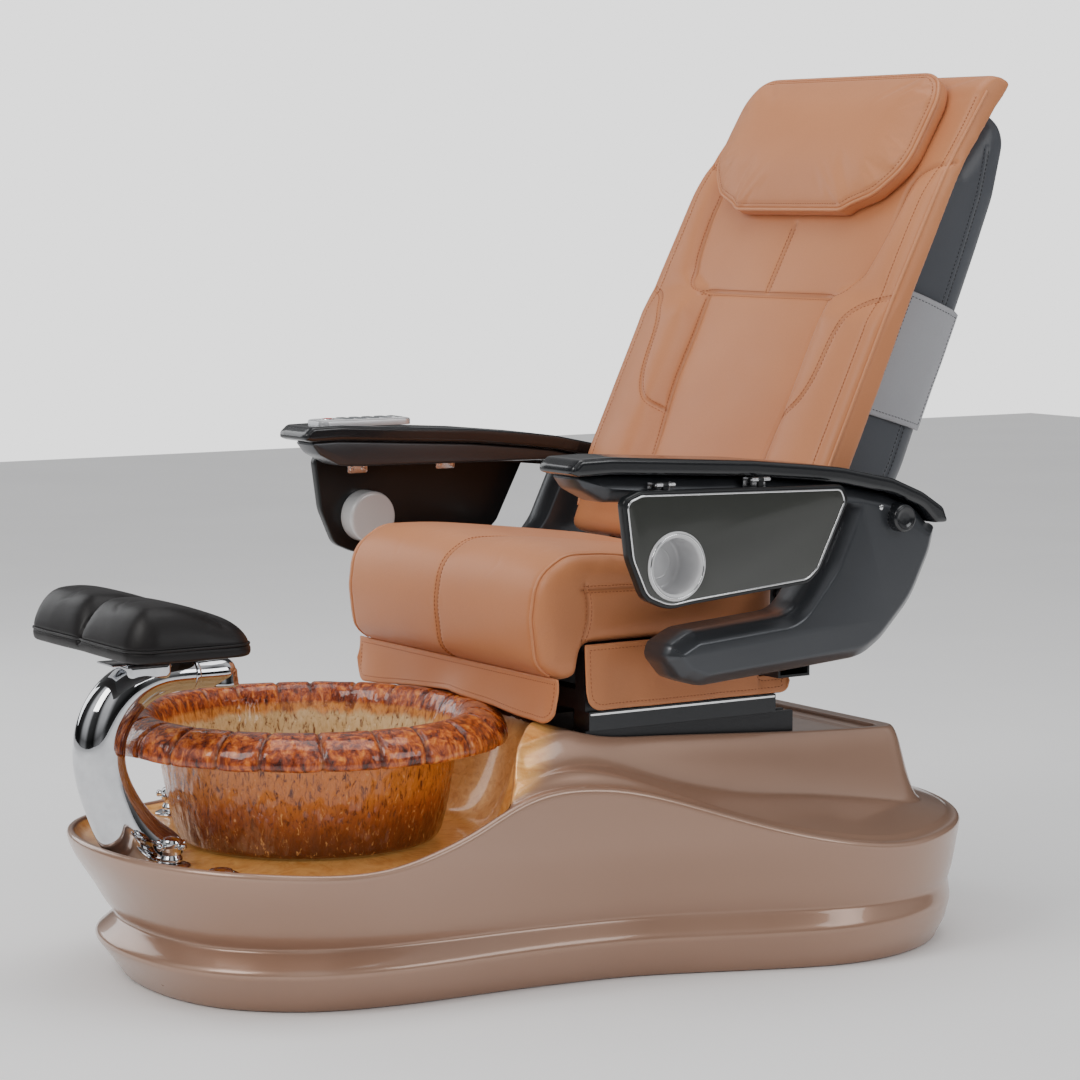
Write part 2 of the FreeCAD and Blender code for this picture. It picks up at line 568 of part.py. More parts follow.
# the side flaps are notched at the back, where the arm bar passes through
ss = cut(plate_yz(284, D["skirt_t"], [(-104, 404), (262, 402), (270, 412), (264, 488), (-104, 488)], [12, 10, 10, 3, 3], Length="dims.skirt_t"),
         box(270, 300, 211, 300, 428, 464))
ss2 = doc.addObject("Part::Mirroring", "mirror")
ss2.Source = ss
ss2.Normal = (1, 0, 0)
c = doc.addObject("Part::Compound", "side_skirts")
c.Links = [ss, ss2]
reg(c, "side_skirts")
cb = cut(box(-334, 334, 214, 274, 431, 461), box(-340, 340, 218, 270, 435, 457))
reg(cb, "arm_crossbar")
za = D["pivot_z"] - D["lever"]
ra = cut(fuse(cyl((50, -60, za - 5), (0, 1, 0), 15, 190), box(24, 76, -66, -24, za - 44, za + 9)),
         cyl((50, -50, za - 5), (0, 1, 0), 9, 260))
reg(ra, "recline_actuator")
# recline rod: its fork has an upright slot, because the lever pin rises a little as the back leans
zr = za - 5
rod = fuse(cyl((50, -18, zr), (0, 1, 0), 8, 258), box(36, 64, 238, 246, zr - 8, za + 17))
fork = cut(fuse(box(36, 42, 244, 306, zr - 5, za + 17), box(58, 64, 244, 306, zr - 5, za + 17)),
           box(30, 70, D["pivot_y"] - 7, D["pivot_y"] + 7, za - 6, za + 12.5))
reg(fuse(rod, fork), "recline_rod")

# ================================================================= back
py, pz = D["pivot_y"], D["pivot_z"]
bf = []
for s in (-1, 1):
    x0 = s * 222 - 9
    up_ = feature(extr_yz([(272, 532), (298, 532), (312, 560), (430, 770), (612, 1170), (606, 1196), (590, 1196), (404, 790), (285, 590), (268, 556)],
                          [8, 8, 30, 60, 10, 8, 8, 60, 30, 10], x0, x0 + 18))
    bf.append(up_)
    bf.append(cyl((s * 214 if s > 0 else -244, py, pz), (1, 0, 0), 8, 30))
bf.append(feature(extr_yz([(398, 745), (418, 738), (426, 752), (406, 760)], 2, -215, 215)))
bf.append(feature(extr_yz([(584, 1150), (606, 1150), (606, 1166), (584, 1166)], 2, -215, 215)))
for s in (-1, 1):
    bf.append(feature(extr_yz([(440, 800), (452, 795), (604, 1128), (592, 1133)], 2, s * 95 - 5, s * 95 + 5)))
    bf.append(feature(extr_yz([(400, 742), (420, 742), (446, 800), (434, 806)], 2, s * 95 - 5, s * 95 + 5)))
    bf.append(feature(extr_yz([(590, 1124), (602, 1124), (604, 1160), (592, 1160)], 2, s * 95 - 5, s * 95 + 5)))
# recline lever: a cross tube between the uprights with a lug down to the rod's pin
bf.append(box(-215, 215, py - 10, py + 10, pz - 10, pz + 10))
bf.append(fuse(box(45, 55, py - 9, py + 9, za, pz - 5), cyl((45, py, za), (1, 0, 0), 9, 10)))
bf.append(cyl((34, py, za), (1, 0, 0), 5, 32))
back_fr = reg(fuse(*bf), "back_frame")
back_frame_drawn = as_drawn(back_fr)

BACK_F = [(276, 628), (326, 743), (443, 999), (548, 1202), (630, 1330)]
bh = D["back_half"]
bprof = [(300, 612), (268, 624), (322, 743), (443, 999), (548, 1202), (630, 1332), (655, 1350), (688, 1342), (690, 1330), (654, 1290), (574, 1196), (478, 998),
         (412, 850), (366, 752), (338, 680), (326, 620)]
bc = extr_yz(bprof, [10, 20, 120, 200, 200, 40, 14, 10, 10, 60, 120, 200, 200, 120, 60, 10], -bh, bh)
# the head end is narrower than the waist
trim = []
for s in (-1, 1):
    trim.append(Part.Face(Part.makePolygon([V(s * 326, 200, 1090), V(s * 286, 200, 1345), V(s * 268, 200, 1420), V(s * 420, 200, 1420), V(s * 420, 200, 1090),
                                            V(s * 326, 200, 1090)])).extrude(V(0, 700, 0)))
for tr in trim:
    bc = bc.cut(tr)
bc = soft_edges(bc, 16, lambda e: abs(abs(e.CenterOfMass.x) - bh) < 0.1 and e.BoundBox.XLength < 0.1)
bc = bc.cut(back_frame_drawn)
bc = max(bc.Solids, key=lambda q: q.Volume)
reg(feature(bc), "back_cushion")
sprof = [(336, 640), (420, 632), (470, 650), (515, 731), (560, 839), (609, 948), (659, 1066), (694, 1153), (716, 1245), (704, 1276), (672, 1297), (657, 1288),
         (578, 1196), (482, 998), (416, 850), (370, 752)]
sr = [6, 30, 60, 200, 300, 300, 300, 120, 40, 20, 14, 6, 80, 200, 200, 100]
hw, ht = D["shell_half"], D["shell_t"]
so = extr_yz(sprof, sr, -hw, hw)
so = soft_edges(so, 42, lambda e: abs(abs(e.CenterOfMass.x) - hw) < 0.1 and e.BoundBox.XLength < 0.1 and (e.CenterOfMass.y - 285 > 0.47 * (e.CenterOfMass.z - 545) + 45))
iprof = [(326, 650), (412, 640), (463, 655), (510, 733), (555, 840), (604, 949), (654, 1067), (689, 1154), (710, 1244), (700, 1270), (671, 1290), (640, 1290),
         (563, 1196), (467, 998), (401, 850), (355, 752)]
si = extr_yz(iprof, sr, -hw + ht, hw - ht)
si = soft_edges(si, 38, lambda e: abs(abs(e.CenterOfMass.x) - (hw - ht)) < 0.1 and e.BoundBox.XLength < 0.1 and (e.CenterOfMass.y - 285 > 0.47 * (e.CenterOfMass.z - 545) + 45))
bs = so.cut(si).cut(back_frame_drawn)
reg(feature(max(bs.Solids, key=lambda q: q.Volume)), "back_shell")
# pillow: a rounded block lying on the head of the back
pil = [(455, 1110), (498, 1106), (508, 1122), (548, 1202.5), (631, 1332), (642, 1348), (620, 1360), (596, 1350), (520, 1236), (450, 1124)]
pw = extr_yz(pil, [12, 12, 4, 200, 4, 12, 14, 30, 200, 20], -240, 240)
for s in (-1, 1):
    pw = pw.cut(Part.Face(Part.makePolygon([V(s * 190, 200, 1090), V(s * 244, 200, 1190), V(s * 244, 200, 1270), V(s * 204, 200, 1352), V(s * 190, 200, 1380),
                                            V(s * 400, 200, 1380), V(s * 400, 200, 1090), V(s * 190, 200, 1090)])).extrude(V(0, 700, 0)))
pw = pw.cut(bc)
reg(feature(max(pw.Solids, key=lambda q: q.Volume)), "head_pillow")
sp = plate_yz(hw + 0.2, 4, [(501, 1013), (605, 972), (526, 793), (414, 826)], 5)
sp2 = doc.addObject("Part::Mirroring", "mirror")
sp2.Source = sp
sp2.Normal = (1, 0, 0)
c = doc.addObject("Part::Compound", "side_pockets")
c.Links = [sp, sp2]
reg(c, "side_pockets")

# ---- massage carriage on the back frame's rails, and its rollers; both are drawn at the low end of their travel
uy, uz = 0.4152, 0.9097
cyy, czz = 486.0, 842.0
mc = []
for s in (-1, 1):
    mc.append(cut(box(s * 95 - 12, s * 95 + 12, cyy - 40, cyy + 2, czz - 22, czz + 22),
                  feature(extr_yz([(446 + uy * k + 0.9097 * q, 797.5 + uz * k - 0.4152 * q) for k, q in ((-150, -7.1), (-150, 7.1), (500, 7.1), (500, -7.1))], 0, s * 95 - 5.6, s * 95 + 5.6))))
mc.append(box(-80, 80, cyy + 6, cyy + 46, czz - 28, czz + 30))
mc.append(box(-107, 107, cyy - 2, cyy + 10, czz - 12, czz + 12))
for s in (-1, 1):
    mc.append(box(s * 62 - 4, s * 62 + 4, cyy - 44, cyy + 8, czz - 7, czz + 7))
mcar = fuse(*mc)
ax = (cyy - 40, czz)
mcar = cut(mcar, cyl((-100, ax[0], ax[1]), (1, 0, 0), 6.06, 200))
reg(mcar, "massage_carriage")
rr_ = D["roller_r"]
mr = fuse(cyl((-58 - 9, ax[0], ax[1]), (1, 0, 0), 6, 134), cyl((-52, ax[0], ax[1]), (1, 0, 0), rr_, 26, Radius="dims.roller_r"),
          cyl((26, ax[0], ax[1]), (1, 0, 0), rr_, 26, Radius="dims.roller_r"))
reg(mr, "massage_rollers")

# ================================================================= arms
ARM = [(-212, 764), (-158, 765), (91, 751), (202, 740), (258, 733), (354, 713), (413, 690), (438, 664), (454, 660), (445, 620), (407, 546), (349, 488),
       (311, 465), (160, 454), (13, 444), (-23, 457), (-51, 489), (-44, 510), (-5, 529), (178, 543), (242, 617), (283, 702), (262, 716), (-118, 721), (-157, 723),
       (-196, 743)]
AR = [4, 200, 400, 200, 200, 120, 60, 6, 6, 120, 160, 120, 80, 300, 60, 24, 20, 14, 40, 50, 90, 26, 10, 60, 30, 20]
af = new_body()
skx = sketch(af, "YZ_Plane", D["arm_in"], rounded(ARM, AR), circle(368, 676, 7))
pad(af, skx, D["arm_w"], Length="dims.arm_w")
tongue = fuse(box(150, 380, 219, 269, 436, 456), box(362, 418, 205, 300, 444, 470))
arm = fuse(af, tongue)
reg(arm, "arm_frame_left")
CAP = [(-225, 778), (-212, 789), (-158, 790), (91, 775), (202, 764), (258, 757), (354, 737), (413, 713), (453, 688), (463, 664), (439, 664.3), (413, 690.3), (354, 713.3),
       (258, 733.3), (202, 740.3), (91, 751.3), (-158, 765.3), (-214, 764.3), (-226, 768)]
cap = plate_yz(D["cap_in"], D["cap_w"], CAP, [6, 10, 200, 400, 200, 200, 120, 60, 12, 4, 4, 60, 120, 200, 200, 400, 200, 6, 4], Length="dims.cap_w")
reg(cap, "arm_cap_left")
kn = turned([(0, 0), (6.9, 0), (6.9, 12), (D["arm_knob_r"] - 4, 12.5), (D["arm_knob_r"], 17), (D["arm_knob_r"], 25), (D["arm_knob_r"] - 5, 30), (0, 27)])
kn.Placement = FreeCAD.Placement(V(416.2, 368, 676), FreeCAD.Rotation(V(0, 1, 0), 90))
reg(kn, "arm_knob_left")
TRAY = [(-157, 731), (-126, 742), (240, 734), (251, 711), (198, 609), (178, 591), (-38, 573), (-76, 568), (-119, 586), (-145, 645)]
tr = new_body()
skx = sketch(tr, "YZ_Plane", D["tray_in"], rounded(TRAY, [14, 20, 12, 16, 30, 30, 200, 60, 30, 60]), circle(D["cup_y"], D["cup_z"], D["cup_r"] + 0.5))
pad(tr, skx, D["tray_t"], Length="dims.tray_t")
inset = [(-149, 726), (-124, 735), (234, 727), (242, 710), (192, 613), (174, 598), (-38, 580), (-74, 575), (-113, 591), (-138, 645)]
skp = sketch(tr, "YZ_Plane", D["tray_in"] + D["tray_t"], rounded(inset, [12, 16, 10, 12, 26, 26, 200, 54, 26, 54]))
pk = tr.newObject("PartDesign::Pocket", "tray_recess")
pk.Profile = skp
pk.Length = 4
tr.Tip = pk
reg(tr, "tray_left")
cr, cd = D["cup_r"], D["cup_deep"]
xo = D["tray_in"] + D["tray_t"] - 4
ch = turned([(0, 0), (cr - 3, 0), (cr, 3), (cr, cd), (cr + 7, cd), (cr + 7, cd + 3.6), (cr + 2, cd + 6), (cr - 3, cd + 5), (cr - 3, 6), (cr - 6, 3), (0, 3)])
ch.Placement = FreeCAD.Placement(V(xo - cd, D["cup_y"], D["cup_z"]), FreeCAD.Rotation(V(0, 1, 0), 90))
reg(ch, "cup_holder_left")
# tray hinges: barrel and fixed leaf on the cap's edge, in line along the tray's top
HZ = 747.5
hg = []
for y in (-92, 78):
    hg.append(fuse(cyl((445, y, HZ), (0, 1, 0), 3.6, 11), cyl((445, y + 21, HZ), (0, 1, 0), 3.6, 11), cyl((445, y - 2, HZ), (0, 1, 0), 1.9, 36),
                   box(428.3, 445, y, y + 11, HZ + 1, HZ + 3.4), box(428.3, 445, y + 21, y + 32, HZ + 1, HZ + 3.4), box(428.2, 431, y - 4, y + 36, 728, HZ + 3.4)))
cap_drawn = as_drawn(cap)
hg = [cut(one, feature(cap_drawn)) for one in hg]
c = doc.addObject("Part::Compound", "hinges")
c.Links = hg
reg(c, "tray_hinges_left")

# the tray's own knuckles run between the fixed ones
kn_l = [fuse(cyl((445, y + 11.3, HZ), (0, 1, 0), 3.6, 9.4), box(441.6, 448.4, y + 11.3, y + 20.7, 734, HZ)) for y in (-92, 78)]
doc.recompute()
tshape = tr.Shape.copy()
parts.remove(tr)
tray_all = doc.addObject("Part::MultiFuse", "tray_all")
tr.Placement = FreeCAD.Placement()
tray_all.Shapes = [tr] + kn_l
tray_cut = cut(tray_all, cyl((445, -100, HZ), (0, 1, 0), 1.95, 250))
tr.Label = "tray_plate"
reg(tray_cut, "tray_left")

doc.recompute()
for src, nm in (("arm_frame_left", "arm_frame_right"), ("arm_cap_left", "arm_cap_right"), ("arm_knob_left", "arm_knob_right"),
                ("tray_left", "tray_right"), ("cup_holder_left", "cup_holder_right"), ("tray_hinges_left", "tray_hinges_right")):
    mirrored([p for p in parts if p.Label == src][0], nm)

# ---- keypad pod on the right arm
cpn = new_body()
skx = sketch(cpn, "XY_Plane", 776, rounded([(-418, -186), (-358, -186), (-358, -16), (-418, -16)], 14))
pad(cpn, skx, 20.5)
cap_right_drawn = feature(cap_drawn.mirror(V(0, 0, 0), V(1, 0, 0)))
kp = cut(cpn, cyl((-388, -160, 792), (0, 0, 1), 8.4, 10), cap_right_drawn)
reg(kp, "control_panel")
reg(cyl((-388, -160, 793.3), (0, 0, 1), 8, 5.5), "power_key")

# ================================================================= check and write
doc.recompute()
bad = [o.Label for o in doc.Objects if "Invalid" in o.State or "Error" in o.State]
for p in parts:
    s = p.Shape
    if s.isNull() or not s.isValid() or not s.Solids:
        bad.append("%s: shape" % p.Label)
if bad:
    raise SystemExit("failed objects: %s" % bad)
os.makedirs("parts", exist_ok=True)
names = [p.Label for p in parts]
assert len(names) == len(set(names)) and len(names) <= 60, (len(names), sorted(names))
bb = FreeCAD.BoundBox()
for p in parts:
    p.Shape.exportStep("parts/%s.step" % p.Label)
    bb.add(p.Shape.BoundBox)
    print("%-20s solids %d  volume %.1f cm3  x %.1f..%.1f y %.1f..%.1f z %.1f..%.1f" % (
        p.Label, len(p.Shape.Solids), p.Shape.Volume / 1000, p.Shape.BoundBox.XMin, p.Shape.BoundBox.XMax, p.Shape.BoundBox.YMin,
        p.Shape.BoundBox.YMax, p.Shape.BoundBox.ZMin, p.Shape.BoundBox.ZMax))
print(len(names), "nodes", bb)
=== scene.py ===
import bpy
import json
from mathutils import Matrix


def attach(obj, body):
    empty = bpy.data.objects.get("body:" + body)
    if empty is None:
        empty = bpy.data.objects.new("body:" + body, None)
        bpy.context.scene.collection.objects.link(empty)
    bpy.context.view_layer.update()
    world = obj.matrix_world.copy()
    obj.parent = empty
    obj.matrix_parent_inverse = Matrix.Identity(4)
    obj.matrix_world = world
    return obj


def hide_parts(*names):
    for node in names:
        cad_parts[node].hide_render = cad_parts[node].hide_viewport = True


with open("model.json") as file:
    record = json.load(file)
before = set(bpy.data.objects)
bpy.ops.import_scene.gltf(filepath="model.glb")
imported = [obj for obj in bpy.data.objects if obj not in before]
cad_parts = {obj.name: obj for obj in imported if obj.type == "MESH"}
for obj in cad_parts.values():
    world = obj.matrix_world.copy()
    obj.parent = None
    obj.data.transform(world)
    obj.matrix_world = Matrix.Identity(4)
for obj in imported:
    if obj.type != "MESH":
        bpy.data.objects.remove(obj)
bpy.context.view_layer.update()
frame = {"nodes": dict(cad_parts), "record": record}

import json
import math
import random

import bmesh
import bpy
import numpy as np
from mathutils import Vector, noise
from mathutils.bvhtree import BVHTree
from mathutils.kdtree import KDTree

# Drawing units are millimetres in the chair's own drawing frame; YS moves them into the row frame.
YS = 39.0
scene = bpy.context.scene
random.seed(4)


def row(P):
    P = np.asarray(P, float).reshape(-1, 3).copy()
    P[:, 1] += YS
    return P / 1000.0


def drawn(P):
    P = np.asarray(P, float).reshape(-1, 3) * 1000.0
    P[:, 1] -= YS
    return P


# ------------------------------------------------------------------ curves
class Spline:
    """Cubic spline through points, closed or open."""

    def __init__(self, P, closed=False, power=1.0):
        P = np.asarray(P, float)
        if P.ndim == 1:
            P = P[:, None]
        if closed:
            P = np.vstack([P, P[:1]])
        h = np.maximum(np.linalg.norm(np.diff(P, axis=0), axis=1) ** power, 1e-9)
        n = len(P) - 1
        A = np.zeros((n + 1, n + 1))
        B = np.zeros((n + 1, P.shape[1]))
        for i in range(1, n):
            A[i, i - 1], A[i, i], A[i, i + 1] = h[i - 1], 2 * (h[i - 1] + h[i]), h[i]
            B[i] = 6 * ((P[i + 1] - P[i]) / h[i] - (P[i] - P[i - 1]) / h[i - 1])
        if closed:
            A[0, 0], A[0, n] = 1, -1
            A[n, 0], A[n, 1], A[n, n - 1], A[n, n] = 2 * h[0], h[0], h[n - 1], 2 * h[n - 1]
            B[n] = 6 * ((P[1] - P[0]) / h[0] - (P[n] - P[n - 1]) / h[n - 1])
        else:
            A[0, 0] = A[n, n] = 1
        self.M = np.linalg.solve(A, B)
        self.t = np.r_[0, np.cumsum(h)]
        self.P, self.h = P, h

    def __call__(self, u):
        u = np.clip(np.asarray(u, float), 0, 1) * self.t[-1]
        i = np.clip(np.searchsorted(self.t, u, side="right") - 1, 0, len(self.h) - 1)
        h = self.h[i][:, None]
        a = ((self.t[i + 1] - u))[:, None]
        b = (u - self.t[i])[:, None]
        P, M = self.P, self.M
        return (M[i] * a**3 + M[i + 1] * b**3) / (6 * h) + (P[i] / h - M[i] * h / 6) * a + (P[i + 1] / h - M[i + 1] * h / 6) * b


def even(Q, n, closed=False):
    """n points evenly spaced along the polyline Q."""
    Q = np.asarray(Q, float)
    if closed:
        Q = np.vstack([Q, Q[:1]])
    s = np.r_[0, np.cumsum(np.linalg.norm(np.diff(Q, axis=0), axis=1))]
    u = np.linspace(0, s[-1], n, endpoint=not closed)
    return np.column_stack([np.interp(u, s, Q[:, k]) for k in range(Q.shape[1])])


def length_of(Q, closed=False):
    Q = np.asarray(Q, float)
    if closed:
        Q = np.vstack([Q, Q[:1]])
    return float(np.linalg.norm(np.diff(Q, axis=0), axis=1).sum())


def rounded(pts, radii, step=3.0):
    """A closed polygon with its corners rounded, as an even dense polyline, counter-clockwise."""
    P = np.asarray(pts, float)
    n = len(P)
    if np.isscalar(radii):
        radii = [radii] * n
    if 0.5 * np.sum(P[:, 0] * np.roll(P[:, 1], -1) - np.roll(P[:, 0], -1) * P[:, 1]) < 0:
        P, radii = P[::-1], list(radii)[::-1]
    out = []
    for i in range(n):
        a, b, c = P[i - 1], P[i], P[(i + 1) % n]
        u, v = a - b, c - b
        lu, lv = np.linalg.norm(u), np.linalg.norm(v)
        u, v = u / lu, v / lv
        th = math.acos(max(-1, min(1, float(u @ v))))
        t = min(radii[i] / max(math.tan(th / 2), 1e-6), 0.46 * lu, 0.46 * lv)
        s, e = b + u * t, b + v * t
        for k in range(13):
            w = k / 12
            # a conic that is a circular arc for this corner angle
            wt = math.sin(th / 2)
            out.append(((1 - w) ** 2 * s + 2 * w * (1 - w) * wt * b + w * w * e) / ((1 - w) ** 2 + 2 * w * (1 - w) * wt + w * w))
    out = np.array(out)
    return even(out, max(24, int(length_of(out, True) / step)), True)


def smooth_loop(Q, rounds=2):
    Q = np.asarray(Q, float)
    for _ in range(rounds):
        Q = 0.5 * Q + 0.25 * (np.roll(Q, 1, 0) + np.roll(Q, -1, 0))
    return Q


def inset(Q, e):
    """A counter-clockwise loop moved inwards by e, with its crossings removed; the number of points stays."""
    Q = np.asarray(Q, float)
    if abs(e) < 1e-9:
        return Q.copy()
    T = np.roll(Q, -1, 0) - np.roll(Q, 1, 0)
    T /= np.maximum(np.linalg.norm(T, axis=1), 1e-9)[:, None]
    R = Q + e * np.column_stack([-T[:, 1], T[:, 0]])
    if e <= 0:
        return R
    A = np.vstack([Q, 0.5 * (Q + np.roll(Q, -1, 0))])
    d = np.sqrt(((R[:, None, :] - A[None, :, :]) ** 2).sum(2)).min(1)
    bad = d < e - max(0.12, 0.02 * e)
    n = len(Q)
    if bad.any() and not bad.all():
        start = int(np.where(~bad)[0][0])
        i = 0
        while i < n:
            k = (start + i) % n
            if bad[k]:
                j = i
                while bad[(start + j) % n]:
                    j += 1
                p, q = R[(start + i - 1) % n], R[(start + j) % n]
                for m in range(i, j):
                    w = (m - i + 1) / (j - i + 1)
                    R[(start + m) % n] = p * (1 - w) + q * w
                i = j
            i += 1
    return R


# ------------------------------------------------------------------ meshes
def grid_faces(nr, nc, closed=True, flip=False):
    """Quads between nr rings of nc points each."""
    r = np.arange(nr - 1)[:, None]
    c = np.arange(nc if closed else nc - 1)[None, :]
    c2 = (c + 1) % nc
    a, b, d, e = r * nc + c, r * nc + c2, (r + 1) * nc + c2, (r + 1) * nc + c
    F = np.stack([a, b, d, e], -1).reshape(-1, 4)
    return F[:, ::-1] if flip else F


class Parts:
    """Collects vertices, faces and a material index for one mesh."""

    def __init__(self):
        self.V, self.F, self.M, self.n = [], [], [], 0

    def add(self, V, F, m=0):
        V = np.asarray(V, float).reshape(-1, 3)
        self.V.append(V)
        for f in F:
            self.F.append(tuple(int(k) + self.n for k in f))
            self.M.append(m)
        self.n += len(V)
        return self


def make(name, V, F, mats, body=None, slot=None, replaces=(), angle=None, M=None, smooth=True, recalc=True):
    me = bpy.data.meshes.new(name)
    V = row(V)
    me.from_pydata(V.tolist(), [], [tuple(int(k) for k in f) for f in F])
    me.validate()
    if recalc:
        bm = bmesh.new()
        bm.from_mesh(me)
        bmesh.ops.recalc_face_normals(bm, faces=bm.faces)
        bm.to_mesh(me)
        bm.free()
    ob = bpy.data.objects.new(name, me)
    scene.collection.objects.link(ob)
    for m in mats if isinstance(mats, (list, tuple)) else [mats]:
        me.materials.append(m)
    if M is not None and len(M) == len(me.polygons):
        me.polygons.foreach_set("material_index", np.asarray(M, np.int32))
    me.polygons.foreach_set("use_smooth", np.full(len(me.polygons), smooth))
    me.update()
    if angle:
        me.set_sharp_from_angle(angle=math.radians(angle))
    if body:
        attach(ob, body)
    if replaces:
        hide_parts(*replaces)
    return ob


def make_parts(name, parts, mats, **k):
    return make(name, np.vstack(parts.V), parts.F, mats, M=parts.M, **k)


def slab(Q, sections):
    """A loop Q in (y, z) carried along x: sections are (x, inset). Closed at both ends. Faces look outwards for x rising."""
    n = len(Q)
    cache, V = {}, []
    for x, e in sections:
        if e not in cache:
            cache[e] = inset(Q, e)
        V.append(np.column_stack([np.full(n, x), cache[e]]))
    F = grid_faces(len(sections), n).tolist()
    F.append(tuple(range(n))[::-1])
    k = (len(sections) - 1) * n
    F.append(tuple(range(k, k + n)))
    return np.vstack(V), F


def round_ends(x0, x1, r0, r1, steps=5, flat=2.0):
    """Sections for slab with rounded rims at both ends."""
    s = [(x0, r0 + flat)]
    for k in range(steps + 1):
        a = math.pi / 2 * k / steps
        s.append((x0 + r0 * (1 - math.sin(a)) if False else x0 + r0 * (1 - math.cos(a)), r0 * (1 - math.sin(a))))
    for k in range(steps + 1):
        a = math.pi / 2 * (1 - k / steps)
        s.append((x1 - r1 * (1 - math.cos(a)), r1 * (1 - math.sin(a))))
    s.append((x1, r1 + flat))
    return s


def turned(prof, n=64, centre=(0, 0, 0), axis="z", closed=False, mod=None):
    """A profile of (radius, height) turned round an axis through centre."""
    prof = np.asarray(prof, float)
    a = np.arange(n) * 2 * math.pi / n
    V = np.zeros((len(prof), n, 3))
    V[..., 0] = prof[:, 0][:, None] * np.cos(a)
    V[..., 1] = prof[:, 0][:, None] * np.sin(a)
    V[..., 2] = prof[:, 1][:, None]
    if mod is not None:
        V = mod(V, prof, a)
    V = V.reshape(-1, 3)
    F = grid_faces(len(prof), n).tolist()
    if closed:
        k = (len(prof) - 1) * n
        F += [(k + i, k + (i + 1) % n, (i + 1) % n, i) for i in range(n)]
    else:
        F.append(tuple(range(n))[::-1])
        k = (len(prof) - 1) * n
        F.append(tuple(range(k, k + n)))
    if axis == "x":
        V = V[:, [2, 0, 1]]
    elif axis == "y":
        V = V[:, [1, 2, 0]]
    return V + np.asarray(centre, float), F


def arc_pts(cx, cy, r, a0, a1, n=6):
    return [(cx + r * math.cos(math.radians(a0 + (a1 - a0) * k / n)), cy + r * math.sin(math.radians(a0 + (a1 - a0) * k / n))) for k in range(n + 1)]


def soften(prof, r=1.0, n=3):
    """Rounds the corners of an open profile."""
    P = np.asarray(prof, float)
    out = [P[0]]
    for i in range(1, len(P) - 1):
        a, b, c = P[i - 1], P[i], P[i + 1]
        u, v = a - b, c - b
        lu, lv = np.linalg.norm(u), np.linalg.norm(v)
        t = min(r, 0.4 * lu, 0.4 * lv)
        s, e = b + u / max(lu, 1e-9) * t, b + v / max(lv, 1e-9) * t
        for k in range(n + 1):
            w = k / n
            out.append((1 - w) ** 2 * s + 2 * w * (1 - w) * b + w * w * e)
    out.append(P[-1])
    return np.array(out)


def tube(path, r, n=8, closed=False, flat=None):
    """A round tube along a path; the flat argument is not used."""
    P = np.asarray(path, float)
    m = len(P)
    T = np.roll(P, -1, 0) - np.roll(P, 1, 0)
    if not closed:
        T[0], T[-1] = P[1] - P[0], P[-1] - P[-2]
    T /= np.maximum(np.linalg.norm(T, axis=1), 1e-9)[:, None]
    N = np.zeros_like(P)
    ref = np.array([0, 0, 1.0]) if abs(T[0][2]) < 0.9 else np.array([1.0, 0, 0])
    u = np.cross(T[0], ref)
    u /= np.linalg.norm(u)
    for i in range(m):
        u = u - (u @ T[i]) * T[i]
        u /= max(np.linalg.norm(u), 1e-9)
        N[i] = u
    Bn = np.cross(T, N)
    a = np.arange(n) * 2 * math.pi / n
    rr = np.broadcast_to(np.asarray(r, float), (m,)) if np.ndim(r) else np.full(m, float(r))
    V = P[:, None, :] + rr[:, None, None] * (np.cos(a)[None, :, None] * N[:, None, :] + np.sin(a)[None, :, None] * Bn[:, None, :])
    V = V.reshape(-1, 3)
    F = grid_faces(m, n, flip=False).tolist()
    if closed:
        k = (m - 1) * n
        # match the twist left over after one round
        best = min(range(n), key=lambda s: np.linalg.norm(V[k] - V[s]))
        F += [(k + i, k + (i + 1) % n, (i + 1 + best) % n, (i + best) % n) for i in range(n)]
    else:
        F.append(tuple(range(n))[::-1])
        F.append(tuple(range((m - 1) * n, m * n)))
    return V, F


def numpy_mesh(ob):
    me = ob.data
    co = np.zeros(len(me.vertices) * 3, np.float32)
    me.vertices.foreach_get("co", co)
    return drawn(co.astype(float).reshape(-1, 3))


def set_mesh(ob, P):
    ob.data.vertices.foreach_set("co", row(P).astype(np.float32).ravel())
    ob.data.update()


def normals_of(ob):
    me = ob.data
    no = np.zeros(len(me.vertices) * 3, np.float32)
    me.vertices.foreach_get("normal", no)
    return no.reshape(-1, 3).astype(float)


def apply_mods(ob):
    dg = bpy.context.evaluated_depsgraph_get()
    e = ob.evaluated_get(dg)
    me = bpy.data.meshes.new_from_object(e, preserve_all_data_layers=True, depsgraph=dg)
    old = ob.data
    mats = list(old.materials)
    ob.modifiers.clear()
    ob.data = me
    if not len(me.materials):
        for m in mats:
            me.materials.append(m)
    me.polygons.foreach_set("use_smooth", np.ones(len(me.polygons), bool))
    me.update()
    return ob


def remesh(ob, size):
    m = ob.modifiers.new("r", "REMESH")
    m.mode = "VOXEL"
    m.voxel_size = size / 1000.0
    m.use_smooth_shade = True
    apply_mods(ob)
    return ob


def relax(ob, rounds=4, factor=0.5):
    m = ob.modifiers.new("s", "SMOOTH")
    m.iterations = rounds
    m.factor = factor
    apply_mods(ob)
    return ob


def subdivide(ob, n=1):
    m = ob.modifiers.new("d", "SUBSURF")
    m.levels = m.render_levels = n
    apply_mods(ob)
    return ob


